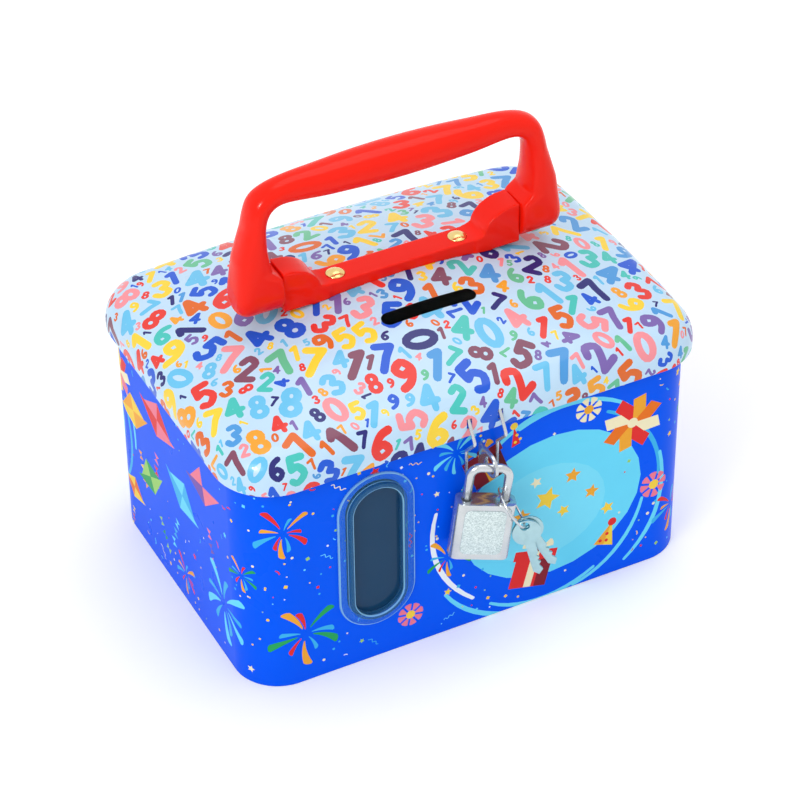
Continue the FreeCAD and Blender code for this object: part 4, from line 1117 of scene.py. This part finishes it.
def lid_ring(beyond, step):
    """Points round the blank at a distance beyond its flat middle."""
    radius = FLAT_CORNER + beyond
    corner_steps = max(8, math.ceil(radius * math.pi / 2 / step))
    points = []
    for number, signs in enumerate(CORNER_SIGNS):
        for turn in np.linspace(number, number + 1, corner_steps + 1) * math.pi / 2:
            points.append(tuple(LID_CORE * signs + radius * np.array((math.cos(turn), math.sin(turn)))))
        start = np.array(points[-1])
        run = (np.array(CORNER_SIGNS[(number + 1) % 4]) - signs) * LID_CORE
        run_steps = math.ceil(2 * LID_CORE[number % 2] / step)
        points += [tuple(start + run * way) for way in np.linspace(0, 1, run_steps + 1)[1:-1]]
    return points


HASP_X = 5.3
HASP_SLOT = (0.9, 1.7)
HASP_SLOT_Z = 82.54
down_front = np.linspace(0, SKIRT, 400)
front_line = wrap_lid(np.c_[np.full(400, HASP_X), -LID_CORE[1] - FLAT_CORNER - down_front])
slot_heights = np.array((HASP_SLOT_Z + HASP_SLOT[1], HASP_SLOT_Z - HASP_SLOT[1]))
slot_ends = np.interp(-slot_heights, -front_line[:, 2], down_front)
lid_holes = [[(z, COIN_SLOT_Y - x) for x, z in stadium(COIN_SLOT[0] - COIN_SLOT[1], COIN_SLOT[1] / 2, 10)]]
for side in (-1, 1):
    lid_holes.append([(side * HASP_X + x * HASP_SLOT[0], -LID_CORE[1] - FLAT_CORNER - slot_ends[end])
                      for x, end in ((-1, 0), (1, 0), (1, 1), (-1, 1))])
CROWN_STEP = 3
CROWN_REACH = LID_CORE + 4
DRAWN_STEP = 1.1
RING_STEP = 2.6
EDGE_STEP = 2.0
lid_grid = [(x, y) for x in steps_between(-CROWN_REACH[0], CROWN_REACH[0], CROWN_STEP)
            for y in steps_between(-CROWN_REACH[1], CROWN_REACH[1], CROWN_STEP)]
for beyond in (0, *np.arange(2.0, SKIRT, DRAWN_STEP)):
    lid_grid += lid_ring(beyond, RING_STEP)
lid_edge = lid_ring(SKIRT, EDGE_STEP)
inner_grid = [point for point in lid_grid if not within(np.array([point]), np.array(lid_holes[0]))[0]]


HEM = 1.3


def lid_thickness(sheet):
    """One sheet of tin, and two where the edge is folded back as a hem."""
    core = np.clip(sheet, -LID_CORE, LID_CORE)
    beyond = np.linalg.norm(sheet - core, axis=1) - FLAT_CORNER
    return np.where(beyond > SKIRT - HEM, 2 * TIN, TIN)


printed_lid = printed_finish("printed_lid", gloss=0.35, shine=0.1)
lid_prints = lay_out("lid_print", digit_layout(), DIGITS, printed_lid)
lid = tin_sheet("lid_print", wrap_lid, lid_edge, lid_holes, lid_prints, LID_BASE, lid_grid, inner_grid,
                lid_thickness, (printed_lid, plain_tin))
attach(lid, "lid")
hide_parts("lid_shell")

# The hinges: two pairs of leaves at the back, stamped from zinc-plated steel and rolled into knuckles
# round a pin. One leaf of each pair is spot-welded to the body's wall, and the other to the lid's skirt.
zinc = metal_finish("zinc_steel", (0.5, 0.52, 0.54, 1), (0.68, 0.7, 0.72, 1),
                    rough=0.22, spread=0.16, size=2.5)
for side in ("left", "right"):
    for node, body in ((f"hinge_body_leaf_{side}", "body"), (f"hinge_lid_leaf_{side}", "lid"),
                       (f"hinge_pin_{side}", "body")):
        dress(node, body, zinc, cad_copy(node, bevel=0.1))

# The handle's base: a bar moulded in glossy red plastic, with a domed boss at each end for the handle's pegs.
# Two gold-coloured rivets go through it and the lid, and are clinched over washers inside.
BAR_TOP = 107.0
BOSS_TOP = 115.6
BOSS_HALF = 4.9
BOSS_END = 40.5
SOCKET_END = 34.0
SOCKET_TOP = 112.1
BOSS_CUT = 112.6
DOME_FOOT = 28.0
DOME_RUN = 11.5


def moulded(node, mesh, cell, passes):
    """A mesh in even cells, smoothed so that its edges and joins are as round as a moulding's."""
    rough = new_piece(f"{node}_rough", mesh)
    remesh = rough.modifiers.new("cells", "REMESH")
    remesh.mode = "VOXEL"
    remesh.voxel_size = cell * MM
    smooth = rough.modifiers.new("round", "SMOOTH")
    smooth.factor = 0.5
    smooth.iterations = passes
    mesh = bpy.data.meshes.new_from_object(rough.evaluated_get(bpy.context.evaluated_depsgraph_get()))
    bpy.data.objects.remove(rough)
    mesh.polygons.foreach_set("use_smooth", [True] * len(mesh.polygons))
    return mesh


red = Finish("red_plastic", Coat_Weight=0.2, Coat_Roughness=0.04, Specular_IOR_Level=0.06)
red.feed("Base Color", red.mix(red.noise(16), colour(246, 26, 8), colour(250, 34, 14)))
red.feed("Roughness", 0.2 + red.noise(7) * 0.08)
red.bump(red.noise(5), 0.02, 0.2)

dome = [(DOME_FOOT + DOME_RUN * (1 - math.cos(turn)), BAR_TOP + (BOSS_TOP - BAR_TOP) * math.sin(turn))
        for turn in np.linspace(0, math.pi / 2, 16)]
dome += [(BOSS_END, BOSS_TOP), (BOSS_END, SOCKET_TOP), (SOCKET_END, SOCKET_TOP), (SOCKET_END, BAR_TOP - 1),
         (DOME_FOOT, BAR_TOP - 1)]
base_shape = bmesh.new()
base_shape.from_mesh(cad_copy("handle_base"))
cut = bmesh.ops.bisect_plane(base_shape, geom=[*base_shape.verts, *base_shape.edges, *base_shape.faces],
                             plane_co=(0, 0, BOSS_CUT * MM), plane_no=(0, 0, 1), clear_outer=True)
cut_edges = [item for item in cut["geom_cut"] if isinstance(item, bmesh.types.BMEdge)]
bmesh.ops.edgeloop_fill(base_shape, edges=cut_edges)
for side in (-1, 1):
    front, behind = ([base_shape.verts.new((side * x * MM, y * MM, z * MM)) for x, z in dome]
                     for y in (-BOSS_HALF, BOSS_HALF))
    base_shape.faces.new(front)
    base_shape.faces.new(behind)
    for number in range(len(dome)):
        base_shape.faces.new((front[number - 1], front[number], behind[number], behind[number - 1]))
bmesh.ops.recalc_face_normals(base_shape, faces=base_shape.faces)
base_mesh = moulded("handle_base", mesh_of(base_shape, "handle_base_whole"), cell=0.4, passes=5)
dress("handle_base", "lid", red.material, base_mesh)
gold = metal_finish("gold_rivet", (0.78, 0.55, 0.2, 1), (0.93, 0.72, 0.32, 1),
                    rough=0.16, spread=0.12, size=1.6)
for side in ("left", "right"):
    dress(f"handle_rivet_{side}", "lid", gold, cad_copy(f"handle_rivet_{side}"))
    dress(f"rivet_washer_{side}", "lid", zinc, cad_copy(f"rivet_washer_{side}"))

# The handle: one moulding in the same red, an oval grip that swells in the middle, on two legs with
# round feet. Its pegs turn in the base's bosses, so that it folds flat to the front or the back.
LEG_INSIDE = 40.7
LEG_ROOT = (109.2, 133.0)
LEG_TRIM = 3.1
TRIM_ACROSS = ((26.0, 40.0), (43.0, 50.5))
TRIM_UP = ((114.4, 118.6), (124.0, 138.0), (138.0, 145.0))
grip_shape = bmesh.new()
grip_shape.from_mesh(cad_copy("handle_grip"))
for side in (-1, 1):
    root = [grip_shape.verts.new(vertex.co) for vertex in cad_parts["handle_grip"].data.vertices
            if side * vertex.co.x > LEG_INSIDE * MM and LEG_ROOT[0] * MM < vertex.co.z < LEG_ROOT[1] * MM]
    tight = bmesh.ops.convex_hull(grip_shape, input=root)
    bmesh.ops.delete(grip_shape, geom=[item for item in {*tight["geom_interior"], *tight["geom_unused"]}
                                       if isinstance(item, bmesh.types.BMVert)], context="VERTS")
grip_mesh = moulded("handle_grip", mesh_of(grip_shape, "handle_grip_whole"), cell=0.45, passes=12)


def eased(value, low, high):
    """A soft step from 0 at the low end to 1 at the high one."""
    share = np.clip((value - low) / (high - low), 0, 1)
    return share * share * (3 - 2 * share)


place = points_of(grip_mesh) / MM
reach, up = np.abs(place[:, 0]), place[:, 2]
trim = (LEG_TRIM * eased(up, *TRIM_UP[0]) * (1 - eased(up, *TRIM_UP[1]) / 2) * (1 - eased(up, *TRIM_UP[2]))
        * eased(reach, *TRIM_ACROSS[0]) * (1 - eased(reach, *TRIM_ACROSS[1])))
place[:, 0] += np.sign(place[:, 0]) * trim
grip_mesh.vertices.foreach_set("co", (place * MM).ravel())
dress("handle_grip", "handle", red.material, grip_mesh)

# The hasp: a plated steel wire bent to a fork, whose two prongs come out through the slots in the lid's
# front. Its bar is held by a zinc-plated clip under the lid.
dress("hasp", "lid", chrome, cad_copy("hasp", sharp=50))
dress("hasp_clip", "lid", zinc, cad_copy("hasp_clip", bevel=0.15))

# The padlock: a chromed steel case with a glittering plate let into its front, and a bent chromed bow.
# Inside are a brass plug that the key turns, the bolt that it draws back, the bolt's spring and a pin.
dress("padlock_shackle", "shackle", chrome, cad_copy("padlock_shackle", sharp=50))
dress("padlock_case", "case", chrome, cad_copy("padlock_case", bevel=0.35, sharp=30))
FLAKES_PER_METRE = 3200.0
sparkle = Finish("sparkle", Metallic=0.6)
flakes = sparkle.node("ShaderNodeTexVoronoi", "Color", {"feature": "F1"}, Vector=sparkle.place(),
                      Scale=FLAKES_PER_METRE)
flake = sparkle.node("ShaderNodeSeparateColor", "Red", Color=flakes)
sparkle.feed("Base Color", sparkle.mix(flake, (0.44, 0.55, 0.56, 1), (0.78, 0.88, 0.88, 1)))
sparkle.feed("Roughness", 0.3 + sparkle.node("ShaderNodeSeparateColor", "Green", Color=flakes) * 0.3)
sparkle.bump(sparkle.node("ShaderNodeSeparateColor", "Blue", Color=flakes), 0.06, 0.6)
dress("padlock_panel", "case", sparkle.material, cad_copy("padlock_panel", bevel=0.1))
brass = metal_finish("plug_brass", (0.62, 0.46, 0.18, 1), (0.78, 0.6, 0.28, 1),
                     rough=0.25, spread=0.15, size=1.5)
dress("padlock_plug", "plug", brass, cad_copy("padlock_plug", bevel=0.08))
dress("padlock_bolt", "bolt", zinc, cad_copy("padlock_bolt", bevel=0.08))
for node in ("padlock_spring", "padlock_stop_pin"):
    dress(node, "case", zinc, cad_copy(node))

# The keys: two flat blanks of satin nickel, stamped and notched, with a round bow and a hole.
# They hang on a bright wire ring round the shackle's heel.
# The keys' nickel is tinted blue-green as a painted reflection of the blue body beside them.
key_steel = metal_finish("key_steel", (0.32, 0.5, 0.54, 1), (0.44, 0.64, 0.69, 1),
                         rough=0.26, spread=0.16, size=2)
dress("key_ring", "ring", chrome, cad_copy("key_ring"))
for order in ("first", "second"):
    dress(f"key_{order}", f"{order}_key", key_steel, cad_copy(f"key_{order}", bevel=0.12))
